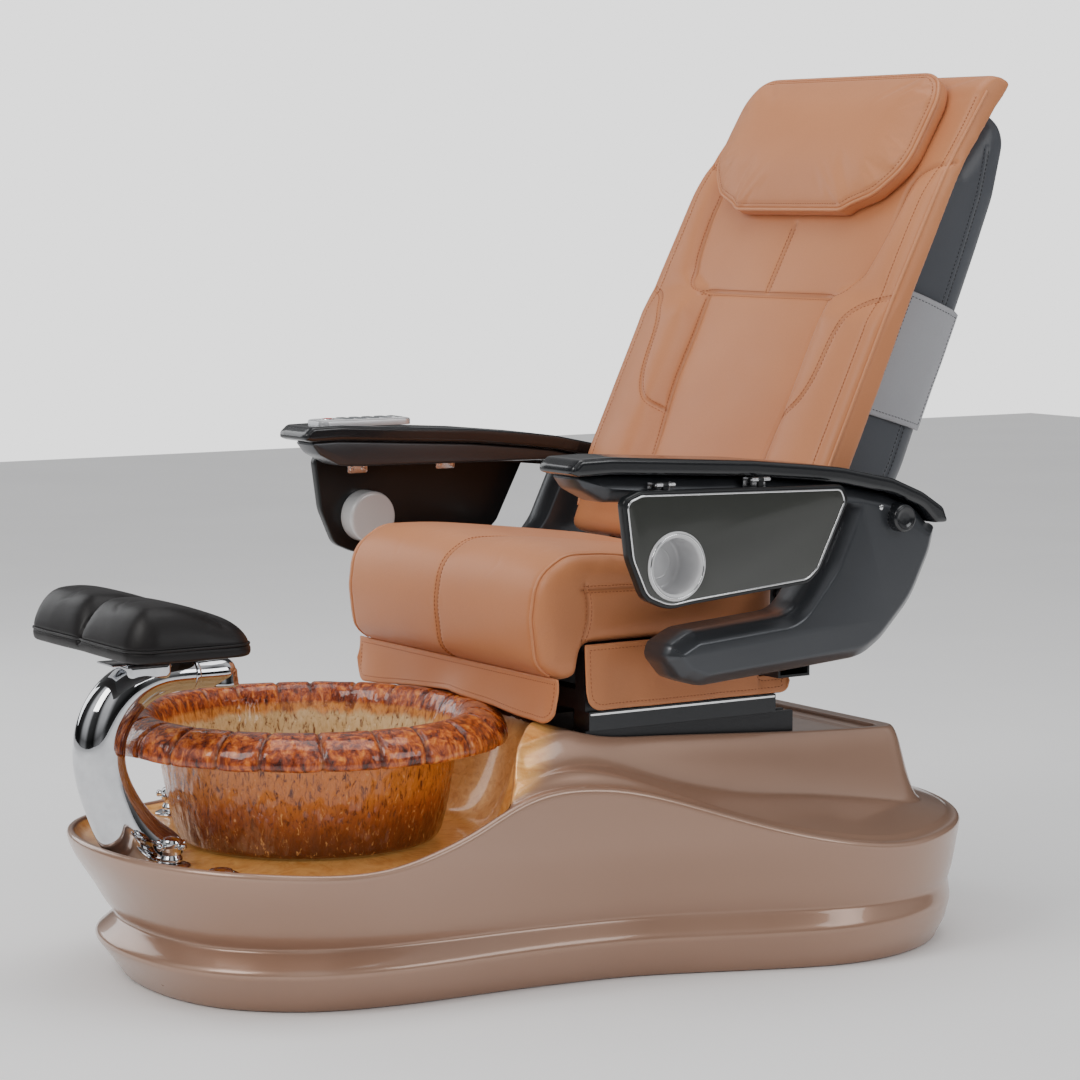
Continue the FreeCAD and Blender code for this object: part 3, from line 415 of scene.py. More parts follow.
def puff(ob, pressure, cap, hold=None, frames=20, tension=14.0, bend=0.6):
    """Pads a closed form with Blender's Cloth under pressure; hold gives each vertex how firmly it stays, 0 to 1."""
    rest = numpy_mesh(ob)
    if hold is not None:
        g = ob.vertex_groups.new(name="hold")
        levels = np.round(hold * 4) / 4
        for lv in (0.25, 0.5, 0.75, 1.0):
            ids = np.where(levels == lv)[0].tolist()
            if ids:
                g.add(ids, float(lv), "REPLACE")
    c = ob.modifiers.new("cloth", "CLOTH")
    s = c.settings
    s.quality = 5
    s.mass = 0.4
    s.tension_stiffness = s.compression_stiffness = tension
    s.shear_stiffness = 6
    s.bending_stiffness = bend
    s.use_pressure = True
    s.uniform_pressure_force = pressure
    s.effector_weights.gravity = 0
    s.air_damping = 2
    if hold is not None:
        s.vertex_group_mass = "hold"
        s.pin_stiffness = 1.0
    c.collision_settings.use_collision = False
    c.point_cache.frame_start = 1
    c.point_cache.frame_end = frames
    for f in range(1, frames + 1):
        scene.frame_set(f)
    dg = bpy.context.evaluated_depsgraph_get()
    e = ob.evaluated_get(dg)
    co = np.zeros(len(e.data.vertices) * 3, np.float32)
    e.data.vertices.foreach_get("co", co)
    new = drawn(co.astype(float))
    ob.modifiers.clear()
    scene.frame_set(1)
    d = new - rest
    ln = np.linalg.norm(d, axis=1)
    d *= (np.minimum(ln, cap * (1 - np.exp(-ln / cap))) / np.maximum(ln, 1e-9))[:, None]
    set_mesh(ob, rest + d)
    return ob


def bvh_of(ob):
    me = ob.data
    V = [v.co for v in me.vertices]
    return BVHTree.FromPolygons([tuple(c) for c in V], [tuple(p.vertices) for p in me.polygons])


def cast(bvh, P, D):
    """Points where rays from P along D meet the surface, and its normals there, all in drawing units."""
    out, nrm = [], []
    P = row(P)
    D = np.broadcast_to(np.asarray(D, float), P.shape)
    for p, d in zip(P, D):
        hit = bvh.ray_cast(Vector(p), Vector(d))
        if hit[0] is not None:
            n = hit[1] if hit[1].dot(Vector(d)) < 0 else -hit[1]
            out.append(tuple(hit[0]))
            nrm.append(tuple(n))
    if not out:
        return np.zeros((0, 3)), np.zeros((0, 3))
    return drawn(np.array(out)), np.array(nrm)


def carve(ob, lines, depth, sigma):
    """Presses seams into a soft surface: every vertex near a line moves in along its normal."""
    kd_pts = np.vstack([even(l, max(2, int(length_of(l) / 2.0))) for l in lines])
    kd = KDTree(len(kd_pts))
    for i, p in enumerate(kd_pts):
        kd.insert(p, i)
    kd.balance()
    P, N = numpy_mesh(ob), normals_of(ob)
    lo, hi = kd_pts.min(0) - 4 * sigma, kd_pts.max(0) + 4 * sigma
    ids = np.where(((P > lo) & (P < hi)).all(1))[0]
    for i in ids:
        d = kd.find(P[i])[2]
        if d < 3.5 * sigma:
            P[i] -= N[i] * depth * math.exp(-((d / sigma) ** 2))
    set_mesh(ob, P)
    return ob


def offset_line(bvh, L, N, off, lift=0.0):
    """A line moved sideways over the surface by off, and lifted off it by lift."""
    T = np.gradient(L, axis=0)
    T /= np.maximum(np.linalg.norm(T, axis=1), 1e-9)[:, None]
    Bv = np.cross(N, T)
    Q = L + Bv * off
    out, nn = [], []
    for q, n0 in zip(row(Q), N):
        hit = bvh.find_nearest(Vector(q))
        n = hit[1] if hit[1].dot(Vector(n0)) > 0 else -hit[1]
        out.append(tuple(hit[0] + n * (lift / 1000.0)))
        nn.append(tuple(n))
    return drawn(np.array(out)), np.array(nn)


def smooth_line(L, rounds=3):
    L = np.asarray(L, float).copy()
    for _ in range(rounds):
        L[1:-1] = 0.5 * L[1:-1] + 0.25 * (L[:-2] + L[2:])
    return L


def stitches(parts, L, N, pitch=6.4, long=4.4, r=0.62, m=0):
    """Sewn thread along a line: short raised strands, one per hole."""
    s = np.r_[0, np.cumsum(np.linalg.norm(np.diff(L, axis=0), axis=1))]
    k = int(s[-1] / pitch)
    if k < 1:
        return
    prof = [(-1.0, 0.35, -0.9), (-0.72, 0.9, 0.1), (0.0, 1.0, 0.55), (0.72, 0.9, 0.1), (1.0, 0.35, -0.9)]
    for i in range(k):
        c = (i + 0.5) * pitch
        p = np.array([np.interp(c, s, L[:, j]) for j in range(3)])
        q = np.array([np.interp(c + 1.0, s, L[:, j]) for j in range(3)])
        n = np.array([np.interp(c, s, N[:, j]) for j in range(3)])
        t = q - p
        if np.linalg.norm(t) < 1e-6:
            continue
        t /= np.linalg.norm(t)
        n -= (n @ t) * t
        n /= max(np.linalg.norm(n), 1e-9)
        b = np.cross(n, t)
        V, F = [], []
        for a, w, up in prof:
            for j in range(6):
                g = math.pi * j / 3
                V.append(p + t * a * long / 2 + b * math.cos(g) * r * w + n * (math.sin(g) * r * w + up * r * 0.7))
        F = grid_faces(5, 6).tolist() + [tuple(range(6))[::-1], tuple(range(24, 30))]
        parts.add(V, F, m)


def smoothstep(x, a, b):
    t = np.clip((np.asarray(x, float) - a) / (b - a), 0, 1)
    return t * t * (3 - 2 * t)


def smin(a, b, k):
    h = np.clip(0.5 + 0.5 * (b - a) / k, 0, 1)
    return b * (1 - h) + a * h - k * h * (1 - h)


def smax(a, b, k):
    return -smin(-a, -b, k)


def rect_sd(x, y, cx, cy, hx, hy, r):
    qx, qy = np.abs(x - cx) - (hx - r), np.abs(y - cy) - (hy - r)
    return np.hypot(np.maximum(qx, 0), np.maximum(qy, 0)) + np.minimum(np.maximum(qx, qy), 0) - r


# ------------------------------------------------------------------ materials
class Nodes:
    """A short way to write a procedural material."""

    def __init__(self, name):
        self.m = bpy.data.materials.new(name)
        self.m.use_nodes = True
        self.t = self.m.node_tree
        self.b = self.t.nodes["Principled BSDF"]

    def set(self, **k):
        for a, v in k.items():
            self.b.inputs[a.replace("_", " ")].default_value = v
        return self

    def n(self, kind, **k):
        nd = self.t.nodes.new("ShaderNode" + kind)
        for a, v in k.items():
            setattr(nd, a, v)
        return nd

    def link(self, a, b):
        self.t.links.new(a, b)

    def coords(self, scale=(1, 1, 1)):
        c = self.n("TexCoord")
        mp = self.n("Mapping")
        mp.inputs["Scale"].default_value = scale
        self.link(c.outputs["Object"], mp.inputs["Vector"])
        return mp.outputs["Vector"]

    def noise(self, scale, detail=2.0, rough=0.5, vec=None, dist=0.0):
        nd = self.n("TexNoise")
        nd.inputs["Scale"].default_value = scale
        nd.inputs["Detail"].default_value = detail
        nd.inputs["Roughness"].default_value = rough
        nd.inputs["Distortion"].default_value = dist
        self.link(vec if vec is not None else self.coords(), nd.inputs["Vector"])
        return nd.outputs["Fac"]

    def voronoi(self, scale, feature="F1", vec=None, rand=1.0):
        nd = self.n("TexVoronoi", feature=feature)
        nd.inputs["Scale"].default_value = scale
        nd.inputs["Randomness"].default_value = rand
        self.link(vec if vec is not None else self.coords(), nd.inputs["Vector"])
        return nd.outputs["Distance"]

    def ramp(self, fac, stops, interp="LINEAR"):
        nd = self.n("ValToRGB")
        cr = nd.color_ramp
        cr.interpolation = interp
        while len(cr.elements) < len(stops):
            cr.elements.new(0.5)
        for e, (p, c) in zip(cr.elements, stops):
            e.position = p
            e.color = (c, c, c, 1) if np.isscalar(c) else (*c, 1)
        self.link(fac, nd.inputs["Fac"])
        return nd.outputs["Color"]

    def mix(self, fac, a, b, blend="MIX"):
        nd = self.n("Mix", data_type="RGBA", blend_type=blend)
        for v, i in ((fac, 0), (a, 6), (b, 7)):
            if hasattr(v, "is_linked") or hasattr(v, "links"):
                self.link(v, nd.inputs[i])
            elif i == 0:
                nd.inputs[0].default_value = v
            else:
                nd.inputs[i].default_value = (*v, 1) if len(v) == 3 else v
        return nd.outputs[2]

    def math(self, op, a, b=0.0, clamp=False):
        nd = self.n("Math", operation=op, use_clamp=clamp)
        for v, i in ((a, 0), (b, 1)):
            if hasattr(v, "links"):
                self.link(v, nd.inputs[i])
            else:
                nd.inputs[i].default_value = v
        return nd.outputs[0]

    def to(self, out, socket):
        self.link(out, self.b.inputs[socket])
        return self

    def bump(self, *layers):
        """Bump from (height socket, strength, distance in metres) layers."""
        prev = None
        for h, strength, dist in layers:
            nd = self.n("Bump")
            nd.inputs["Strength"].default_value = strength
            nd.inputs["Distance"].default_value = dist
            self.link(h, nd.inputs["Height"])
            if prev is not None:
                self.link(prev, nd.inputs["Normal"])
            prev = nd.outputs["Normal"]
        self.link(prev, self.b.inputs["Normal"])
        return self

    def xyz(self):
        c = self.n("TexCoord")
        s = self.n("SeparateXYZ")
        self.link(c.outputs["Object"], s.inputs[0])
        return s.outputs


def leather(name, light, dark, rough=0.46, grain=1.0, crease=0.55, spec=0.42, sheen=0.08):
    k = Nodes(name)
    k.set(Specular_IOR_Level=spec, Sheen_Weight=sheen, Sheen_Roughness=0.45, Coat_Weight=0.06, Coat_Roughness=0.35)
    big = k.ramp(k.noise(3.2, 3, 0.55), [(0.32, 0.0), (0.68, 1.0)])
    col = k.mix(big, dark, light)
    fine = k.ramp(k.noise(420, 2, 0.6), [(0.3, 0.0), (0.7, 1.0)])
    col = k.mix(k.math("MULTIPLY", fine, 0.16), col, tuple(0.72 * c for c in dark))
    # painted shade: darker colour in the creases and hollows of the cover (low pointiness), by the amount crease
    geo = k.n("NewGeometry")
    edge = k.ramp(geo.outputs["Pointiness"], [(0.43, 1.0), (0.492, 0.0)])
    col = k.mix(k.math("MULTIPLY", edge, crease), col, tuple(0.38 * c for c in dark))
    worn = k.ramp(geo.outputs["Pointiness"], [(0.52, 0.0), (0.60, 1.0)])
    col = k.mix(k.math("MULTIPLY", worn, 0.25), col, tuple(min(1, 1.18 * c) for c in light))
    k.to(col, "Base Color")
    r = k.n("MapRange")
    k.link(k.noise(26, 3, 0.6), r.inputs["Value"])
    r.inputs["To Min"].default_value = rough - 0.06
    r.inputs["To Max"].default_value = rough + 0.08
    k.to(r.outputs["Result"], "Roughness")
    k.bump((k.noise(16, 2, 0.5), 0.10, 0.0025), (k.voronoi(620, "F1"), 0.22 * grain, 0.00035), (k.noise(1500, 2, 0.6), 0.16 * grain, 0.0002))
    return k.m


def paint(name, light, dark, rough, metallic=0.0, coat=0.0, coat_rough=0.05, peel=0.1, spec=0.5, scale=2.5, flake=0.0, edge=0.2):
    """Moulded or painted surface: slow colour drift, fine orange peel, and a slight painted highlight on sharp convex
    edges.
    """
    k = Nodes(name)
    k.set(Metallic=metallic, Coat_Weight=coat, Coat_Roughness=coat_rough, Specular_IOR_Level=spec)
    col = k.mix(k.ramp(k.noise(scale, 2, 0.5), [(0.3, 0.0), (0.7, 1.0)]), dark, light)
    if flake:
        fl = k.ramp(k.noise(2600, 1, 0.5), [(0.5, 0.0), (0.75, 1.0)])
        col = k.mix(k.math("MULTIPLY", fl, flake), col, tuple(min(1, 1.45 * c + 0.02) for c in light))
    if edge:
        # painted highlight: lighter colour where the surface turns over a sharp convex edge (high pointiness), by the
        # amount edge
        geo = k.n("NewGeometry")
        w = k.ramp(geo.outputs["Pointiness"], [(0.52, 0.0), (0.62, 1.0)])
        col = k.mix(k.math("MULTIPLY", w, edge), col, tuple(min(1, 1.25 * c + 0.01) for c in light))
    k.to(col, "Base Color")
    r = k.n("MapRange")
    k.link(k.noise(40, 3, 0.65), r.inputs["Value"])
    r.inputs["To Min"].default_value = max(0.0, rough - 0.035)
    r.inputs["To Max"].default_value = rough + 0.045
    k.to(r.outputs["Result"], "Roughness")
    k.bump((k.noise(340, 2, 0.5), peel, 0.0004), (k.noise(9, 1, 0.4), peel * 0.6, 0.0012))
    return k.m


def metal(name, col, rough, brushed=(1, 1, 1), tint=0.12, aniso=0.0):
    k = Nodes(name)
    k.set(Metallic=1.0, Anisotropic=aniso)
    vec = k.coords(brushed)
    k.to(k.mix(k.ramp(k.noise(60, 3, 0.6, vec), [(0.3, 0.0), (0.7, 1.0)]), tuple(c * (1 - tint) for c in col), col), "Base Color")
    r = k.n("MapRange")
    k.link(k.noise(90, 4, 0.65, vec), r.inputs["Value"])
    r.inputs["To Min"].default_value = max(0.015, rough * 0.7)
    r.inputs["To Max"].default_value = rough * 1.5
    k.to(r.outputs["Result"], "Roughness")
    k.bump((k.noise(220, 2, 0.5, vec), 0.04, 0.0002))
    return k.m


TAN_L, TAN_D = (0.590, 0.232, 0.096), (0.520, 0.190, 0.074)
MAT = {}
MAT["tan_leather"] = leather("tan_leather", TAN_L, TAN_D, 0.47, 0.8)
# the piping's leather is a lighter, pinker copy of the tan: a painted highlight on the round piping
MAT["tan_edge"] = leather("tan_leather_piping_lit", (0.61, 0.255, 0.115), (0.54, 0.21, 0.09), 0.40, 0.5, crease=0.2)
MAT["black_leather"] = leather("black_leather", (0.008, 0.0065, 0.0065), (0.005, 0.004, 0.0045), 0.44, 1.0, crease=0.3, spec=0.30, sheen=0.0)
MAT["grey_leather"] = leather("slate_shell", (0.068, 0.074, 0.086), (0.050, 0.055, 0.066), 0.40, 0.8, crease=0.2, spec=0.5)
MAT["pocket_leather"] = leather("pocket_leather", (0.37, 0.37, 0.39), (0.32, 0.322, 0.34), 0.50, 1.0, crease=0.25)
MAT["thread_tan"] = paint("thread_tan", (0.36, 0.115, 0.040), (0.28, 0.085, 0.028), 0.6, peel=0.4, edge=0)
MAT["thread_dark"] = paint("thread_dark", (0.030, 0.030, 0.034), (0.018, 0.018, 0.021), 0.65, peel=0.4, edge=0)
MAT["arm_graphite"] = paint("arm_graphite", (0.058, 0.062, 0.069), (0.044, 0.047, 0.053), 0.30, metallic=0.50, coat=0.25, coat_rough=0.22, flake=0.10)
MAT["arm_cap"] = paint("arm_cap_gloss", (0.014, 0.015, 0.017), (0.009, 0.010, 0.012), 0.20, coat=0.35, coat_rough=0.06, peel=0.05)
MAT["black_plastic"] = paint("black_plastic", (0.020, 0.021, 0.023), (0.013, 0.014, 0.015), 0.38, peel=0.25)
MAT["tray_body"] = paint("tray_body_gloss", (0.012, 0.013, 0.014), (0.008, 0.009, 0.010), 0.30, coat=0.12, coat_rough=0.14, peel=0.04, spec=0.30)
MAT["tray_face"] = paint("tray_face_olive", (0.040, 0.042, 0.036), (0.032, 0.034, 0.030), 0.20, coat=0.5, coat_rough=0.07, peel=0.06)
MAT["cup_white"] = paint("cup_white", (0.66, 0.66, 0.66), (0.58, 0.58, 0.59), 0.22, coat=0.5, coat_rough=0.05, peel=0.05)
MAT["panel_silver"] = paint("panel_silver", (0.62, 0.63, 0.65), (0.54, 0.55, 0.57), 0.28, metallic=0.5, coat=0.3, coat_rough=0.1, peel=0.08)
MAT["panel_white"] = paint("panel_white", (0.80, 0.81, 0.82), (0.72, 0.73, 0.75), 0.25, coat=0.4, coat_rough=0.08, peel=0.06)
MAT["key_red"] = paint("key_red", (0.55, 0.018, 0.016), (0.42, 0.012, 0.012), 0.30, coat=0.5, coat_rough=0.08)
MAT["key_grey"] = paint("key_grey", (0.16, 0.17, 0.18), (0.12, 0.13, 0.14), 0.40)
MAT["chrome"] = metal("chrome", (0.64, 0.65, 0.67), 0.035)
MAT["trim"] = metal("bright_trim", (0.82, 0.83, 0.84), 0.06)
MAT["hinge_steel"] = metal("hinge_steel", (0.62, 0.62, 0.63), 0.20, (1, 14, 1))
MAT["rail_steel"] = metal("rail_steel", (0.42, 0.43, 0.44), 0.26, (20, 1, 20))
MAT["rod_steel"] = metal("rod_steel", (0.60, 0.61, 0.62), 0.14, (20, 1, 20))
MAT["brass_part"] = metal("brass_part", (0.62, 0.46, 0.22), 0.24)
MAT["steel_black"] = paint("steel_black", (0.018, 0.019, 0.021), (0.012, 0.012, 0.014), 0.42, metallic=0.2, peel=0.5)
MAT["rail_black"] = paint("rail_black", (0.020, 0.022, 0.025), (0.013, 0.014, 0.016), 0.30, metallic=0.3, coat=0.2, coat_rough=0.2, peel=0.15)
MAT["jet_plastic"] = paint("jet_plastic", (0.74, 0.74, 0.74), (0.66, 0.66, 0.67), 0.28, coat=0.3, coat_rough=0.1)
MAT["seal"] = paint("seal_rubber", (0.05, 0.045, 0.04), (0.03, 0.03, 0.03), 0.6, peel=0.4)
MAT["hose"] = metal("hose_braid", (0.60, 0.60, 0.61), 0.22, (1, 40, 1))
MAT["actuator"] = paint("actuator", (0.10, 0.105, 0.11), (0.075, 0.078, 0.082), 0.40, metallic=0.3, peel=0.3)
MAT["spray_disc"] = paint("spray_disc", (0.52, 0.42, 0.32), (0.44, 0.35, 0.27), 0.42, peel=0.3)


def base_material():
    """Pearl mocha gel-coat; towards the bowl the recess carries painted light from the glass: a gold-orange wash in the
    colour and a faint glow.
    """
    k = Nodes("base_gloss")
    k.set(Metallic=0.30, Coat_Weight=0.65, Coat_Roughness=0.06, Specular_IOR_Level=0.5)
    col = k.mix(k.ramp(k.noise(1.8, 2, 0.5), [(0.3, 0.0), (0.7, 1.0)]), (0.330, 0.188, 0.125), (0.375, 0.220, 0.150))
    fl = k.ramp(k.noise(2400, 1, 0.5), [(0.5, 0.0), (0.78, 1.0)])
    col = k.mix(k.math("MULTIPLY", fl, 0.10), col, (0.62, 0.46, 0.36))
    at = k.n("Attribute")
    at.attribute_name = "painted_glass_light"
    # streaks that run round the bowl and fine crackle, as light through the glass draws them
    x = k.xyz()
    dx, dy = x[0], k.math("ADD", x[1], 0.376)
    ang = k.math("ARCTAN2", dy, dx)
    rad = k.math("SQRT", k.math("ADD", k.math("MULTIPLY", dx, dx), k.math("MULTIPLY", dy, dy)))
    cmb = k.n("CombineXYZ")
    k.link(k.math("MULTIPLY", ang, 5.0), cmb.inputs[0])
    k.link(k.math("MULTIPLY", rad, 9.0), cmb.inputs[1])
    k.link(k.math("MULTIPLY", x[2], 22.0), cmb.inputs[2])
    st = k.ramp(k.noise(2.2, 5, 0.62, cmb.outputs[0], 1.6), [(0.30, 0.0), (0.50, 0.55), (0.72, 1.0)])
    glass_light_gold = k.mix(st, (0.640, 0.240, 0.045), (0.920, 0.500, 0.150))
    fine = k.ramp(k.noise(120, 3, 0.6, None, 2.0), [(0.56, 0.0), (0.70, 1.0)])
    glass_light_gold = k.mix(k.math("MULTIPLY", fine, 0.35), glass_light_gold, (0.90, 0.62, 0.32))
    # painted light: the gold of light coming through the glass is laid into the base colour of the recess
    col = k.mix(at.outputs["Fac"], col, glass_light_gold)
    # painted highlight: lighter colour on the ridge crest and other sharp convex edges (high pointiness)
    geo = k.n("NewGeometry")
    w = k.ramp(geo.outputs["Pointiness"], [(0.51, 0.0), (0.60, 1.0)])
    col = k.mix(k.math("MULTIPLY", w, 0.35), col, (0.66, 0.50, 0.41))
    k.to(col, "Base Color")
    # painted light: the recess glows (emission) in the gold of the light that the glass throws into it
    k.to(k.mix(at.outputs["Fac"], (0.0, 0.0, 0.0), glass_light_gold), "Emission Color")
    k.set(Emission_Strength=0.16)
    r = k.n("MapRange")
    k.link(k.noise(30, 3, 0.6), r.inputs["Value"])
    r.inputs["To Min"].default_value = 0.25
    r.inputs["To Max"].default_value = 0.36
    k.to(r.outputs["Result"], "Roughness")
    k.bump((k.noise(300, 2, 0.5), 0.03, 0.0003), (k.noise(7, 1, 0.4), 0.04, 0.0012))
    return k.m


def glass_material():
    """Amber art glass: bark-like flecks, redder at the rim, brown at the foot, cream inside."""
    k = Nodes("bowl_glass")
    k.set(Coat_Weight=0.7, Coat_Roughness=0.03, Specular_IOR_Level=0.45, Transmission_Weight=0.12, IOR=1.45, Roughness=0.16)
    x = k.xyz()
    z = x[2]
    dx, dy = x[0], k.math("ADD", x[1], 0.376)
    ang = k.math("ARCTAN2", dy, dx)
    cmb = k.n("CombineXYZ")
    k.link(k.math("MULTIPLY", ang, 0.235), cmb.inputs[0])
    k.link(k.math("MULTIPLY", z, 0.36), cmb.inputs[1])
    k.link(k.math("SQRT", k.math("ADD", k.math("MULTIPLY", dx, dx), k.math("MULTIPLY", dy, dy))), cmb.inputs[2])
    bark = k.noise(150, 5, 0.68, cmb.outputs[0], 0.8)
    blot = k.noise(26, 4, 0.6, cmb.outputs[0], 0.6)
    zone = k.math("ADD", z, k.math("MULTIPLY", k.math("SUBTRACT", blot, 0.5), 0.075))
    body = k.ramp(zone, [(0.205, (0.080, 0.014, 0.004)), (0.238, (0.170, 0.034, 0.008)), (0.270, (0.360, 0.085, 0.014)),
                         (0.300, (0.640, 0.200, 0.030)), (0.345, (0.760, 0.260, 0.040)), (0.400, (0.560, 0.140, 0.022))])
    fleck = k.ramp(bark, [(0.37, 0.95), (0.46, 0.15), (0.54, 0.0)])
    body = k.mix(fleck, body, (0.095, 0.016, 0.005))
    glint = k.ramp(bark, [(0.60, 0.0), (0.70, 0.85)])
    body = k.mix(glint, body, (0.86, 0.47, 0.16))
    at = k.n("Attribute")
    at.attribute_name = "part"
    # 0 body, 1 rim, 2 inside
    rimn = k.noise(95, 5, 0.66, cmb.outputs[0], 0.5)
    rim = k.ramp(rimn, [(0.34, (0.050, 0.007, 0.003)), (0.46, (0.240, 0.036, 0.007)), (0.56, (0.520, 0.110, 0.014)), (0.70, (0.800, 0.290, 0.050))])
    inn_hi = k.ramp(rimn, [(0.36, (0.250, 0.060, 0.012)), (0.50, (0.640, 0.235, 0.046)), (0.66, (0.740, 0.330, 0.090))])
    inn_lo = k.ramp(bark, [(0.36, (0.170, 0.060, 0.018)), (0.44, (0.640, 0.420, 0.190)), (0.60, (0.740, 0.520, 0.270))])
    inside = k.mix(k.ramp(k.math("ADD", z, k.math("MULTIPLY", k.math("SUBTRACT", blot, 0.5), 0.035)), [(0.352, 0.0), (0.360, 1.0)]), inn_lo, inn_hi)
    f1 = k.math("MINIMUM", at.outputs["Fac"], 1.0)
    f2 = k.math("SUBTRACT", at.outputs["Fac"], 1.0, clamp=True)
    col = k.mix(f2, k.mix(f1, body, rim), inside)
    # painted shade: the glass colour darkens in the creases of the pressed rim
    crease = k.n("Attribute")
    crease.attribute_name = "crease"
    col = k.mix(k.math("MULTIPLY", crease.outputs["Fac"], 0.8), col, (0.055, 0.010, 0.006))
    k.to(col, "Base Color")
    # painted light: the glass glows faintly in its own colour (emission), standing in for light passing through it
    k.to(col, "Emission Color")
    k.set(Emission_Strength=0.10)
    k.bump((bark, 0.75, 0.0035), (blot, 0.25, 0.004))
    return k.m


MAT["base_gloss"] = base_material()
MAT["bowl_glass"] = glass_material()

for nm, ob in frame["nodes"].items():
    sl = next((s["material_slot"] for s in frame["record"]["subparts"] if s["node"] == nm), None)
    mt = MAT.get({"rail_steel": "rail_black"}.get(sl, sl), MAT["steel_black"])
    ob.data.materials.clear()
    ob.data.materials.append(mt)
    ob.data.polygons.foreach_set("use_smooth", np.ones(len(ob.data.polygons), bool))
    ob.data.set_sharp_from_angle(angle=math.radians(32))


# ------------------------------------------------------------------ the base shell
HALF = [(0, -768), (100, -758), (197, -722), (278, -652), (328, -562), (347, -460), (348, -355), (344, -250), (348, -150), (365, -50), (405, 60),
        (448, 170), (474, 270), (470, 370), (438, 460), (374, 545), (284, 605), (160, 645), (0, 655)]
PLAN = Spline(HALF + [(-x, y) for x, y in HALF[-2:0:-1]], closed=True)
NB = 880
OUT = even(PLAN(np.linspace(0, 1, 6000, endpoint=False)), NB, True)
TT = np.roll(OUT, -1, 0) - np.roll(OUT, 1, 0)
TT /= np.linalg.norm(TT, axis=1)[:, None]
NIN = np.column_stack([-TT[:, 1], TT[:, 0]])
RIDGE = np.array([(-860, 224), (-760, 221), (-600, 214), (-470, 216), (-395, 233), (-329, 255), (-262, 283), (-211, 297), (-140, 300), (-70, 291),
                  (40, 258), (160, 220), (270, 196), (370, 185), (460, 187), (560, 192), (720, 196)], float)
_rs = Spline(RIDGE)
_rq = _rs(np.linspace(0, 1, 2000))
PED = np.array([(-330, 405), (-260, 402), (-205, 393), (-160, 383), (-90, 364), (0, 355), (100, 349), (300, 337), (520, 329), (600, 327)], float)
_ps = Spline(PED)
_pq = _ps(np.linspace(0, 1, 1000))


def ridge(y):
    return np.interp(y, _rq[:, 0], _rq[:, 1])


def ped_top(y):
    return np.interp(y, _pq[:, 0], _pq[:, 1])


def side_inset(zk, y):
    f = smoothstep((y + 100) / -600, 0, 1)
    b = smoothstep((y - 100) / 500, 0, 1)
    tab = {0: (84, 46, 40), 31: (62, 28, 24), 62: (38, 16, 16), 92: (74, 36, 20), 140: (40, 20, 9), 215: (1, 3, 0), 345: (-4, 3, 2)}
    a = tab[zk]
    return a[1] * (1 - f - b) + a[0] * f + a[2] * b


def base_profile():
    """Rings of (inset, height) per outline point, from the floor up to the start of the top."""
    y = OUT[:, 1]
    i0, i31, i62, i92, i140, i215, i345 = (side_inset(k, y) for k in (0, 31, 62, 92, 140, 215, 345))
    R = ridge(y)
    rings = []

    def quad(a, b, c, n):
        for k in range(n + 1):
            w = k / n
            rings.append(((1 - w) ** 2 * a[0] + 2 * w * (1 - w) * b[0] + w * w * c[0], (1 - w) ** 2 * a[1] + 2 * w * (1 - w) * b[1] + w * w * c[1]))

    one = np.ones(NB)
    rings.append((i0 + 12, 6 * one))
    rings.append((i0 + 12, 0.4 * one))
    quad((i0 + 4, 0 * one), (i0, 0 * one), (i0 - 2.1, 3 * one), 3)
    for z in (10, 20, 31, 42):
        w = z / 31
        rings.append((i0 + (i31 - i0) * w if z <= 31 else i31 + (i62 - i31) * (z - 31) / 31, z * one))
    lo = ((i31 - i62) / 31)
    hi = ((i92 - i62) / 30)
    quad((i62 + lo * 9, 53 * one), (i62, 62 * one), (i62 + hi * 8, 70 * one), 6)
    for z in (74, 79, 84):
        rings.append((i62 + hi * (z - 62), z * one))
    # body curve: a Hermite through the tabled insets
    kz = np.array([92, 140, 215, 345.0])
    kv = np.stack([i92, i140, i215, i345])
    m = np.stack([1.55 * (kv[1] - kv[0]) / 48, (kv[2] - kv[0]) / 123, (kv[3] - kv[1]) / 205 * 0.5, (kv[3] - kv[2]) / 130 * 0.5])

    def body(z):
        out = np.zeros_like(z)
        for k in range(3):
            s = (z >= kz[k]) & (z <= kz[k + 1] + 1e-6)
            t = (z - kz[k]) / (kz[k + 1] - kz[k])
            h = kz[k + 1] - kz[k]
            v = (2 * t**3 - 3 * t**2 + 1) * kv[k] + (t**3 - 2 * t**2 + t) * h * m[k] + (-2 * t**3 + 3 * t**2) * kv[k + 1] + (t**3 - t**2) * h * m[k + 1]
            out = np.where(s, v, out)
        return out

    quad((i62 + hi * 25.5, 87.5 * one), (i92, 92 * one), (body(96.5 * one), 96.5 * one), 5)
    n = 26
    top = R - 8
    for k in range(1, n + 1):
        w = (k / n) ** 0.92
        z = 96.5 + (top - 96.5) * w
        rings.append((body(z), z))
    e = body(top)
    for k in range(1, 6):
        a = math.pi / 2 * k / 5
        rings.append((e + 8 * (1 - math.cos(a)), top + 8 * math.sin(a)))
    return rings, e + 8


RINGS, TOP_IN = base_profile()
P0 = OUT + NIN * TOP_IN[:, None]


def rho(x, y):
    return np.hypot(x, y + 415)


KD_OUT = KDTree(3520)
_dense = even(PLAN(np.linspace(0, 1, 9000, endpoint=False)), 3520, True)
for _i, _p in enumerate(_dense):
    KD_OUT.insert((_p[0], _p[1], 0), _i)
KD_OUT.balance()


def edge_dist(x, y):
    return np.array([KD_OUT.find((a, b, 0))[2] for a, b in zip(np.ravel(x), np.ravel(y))]).reshape(np.shape(x))


def recess_sd(x, y, d):
    """Positive inside the bowl recess."""
    r = rho(x, y)
    phi = np.degrees(np.arctan2(y + 415, np.abs(x)))
    lim = 336 + 52 * np.exp(-(((phi - 12) / 15) ** 2))
    c = np.where(y > -415, lim - r, 372 - np.abs(x) + (-415 - y) * 0.35)
    return smin(d - 13, c, 9)


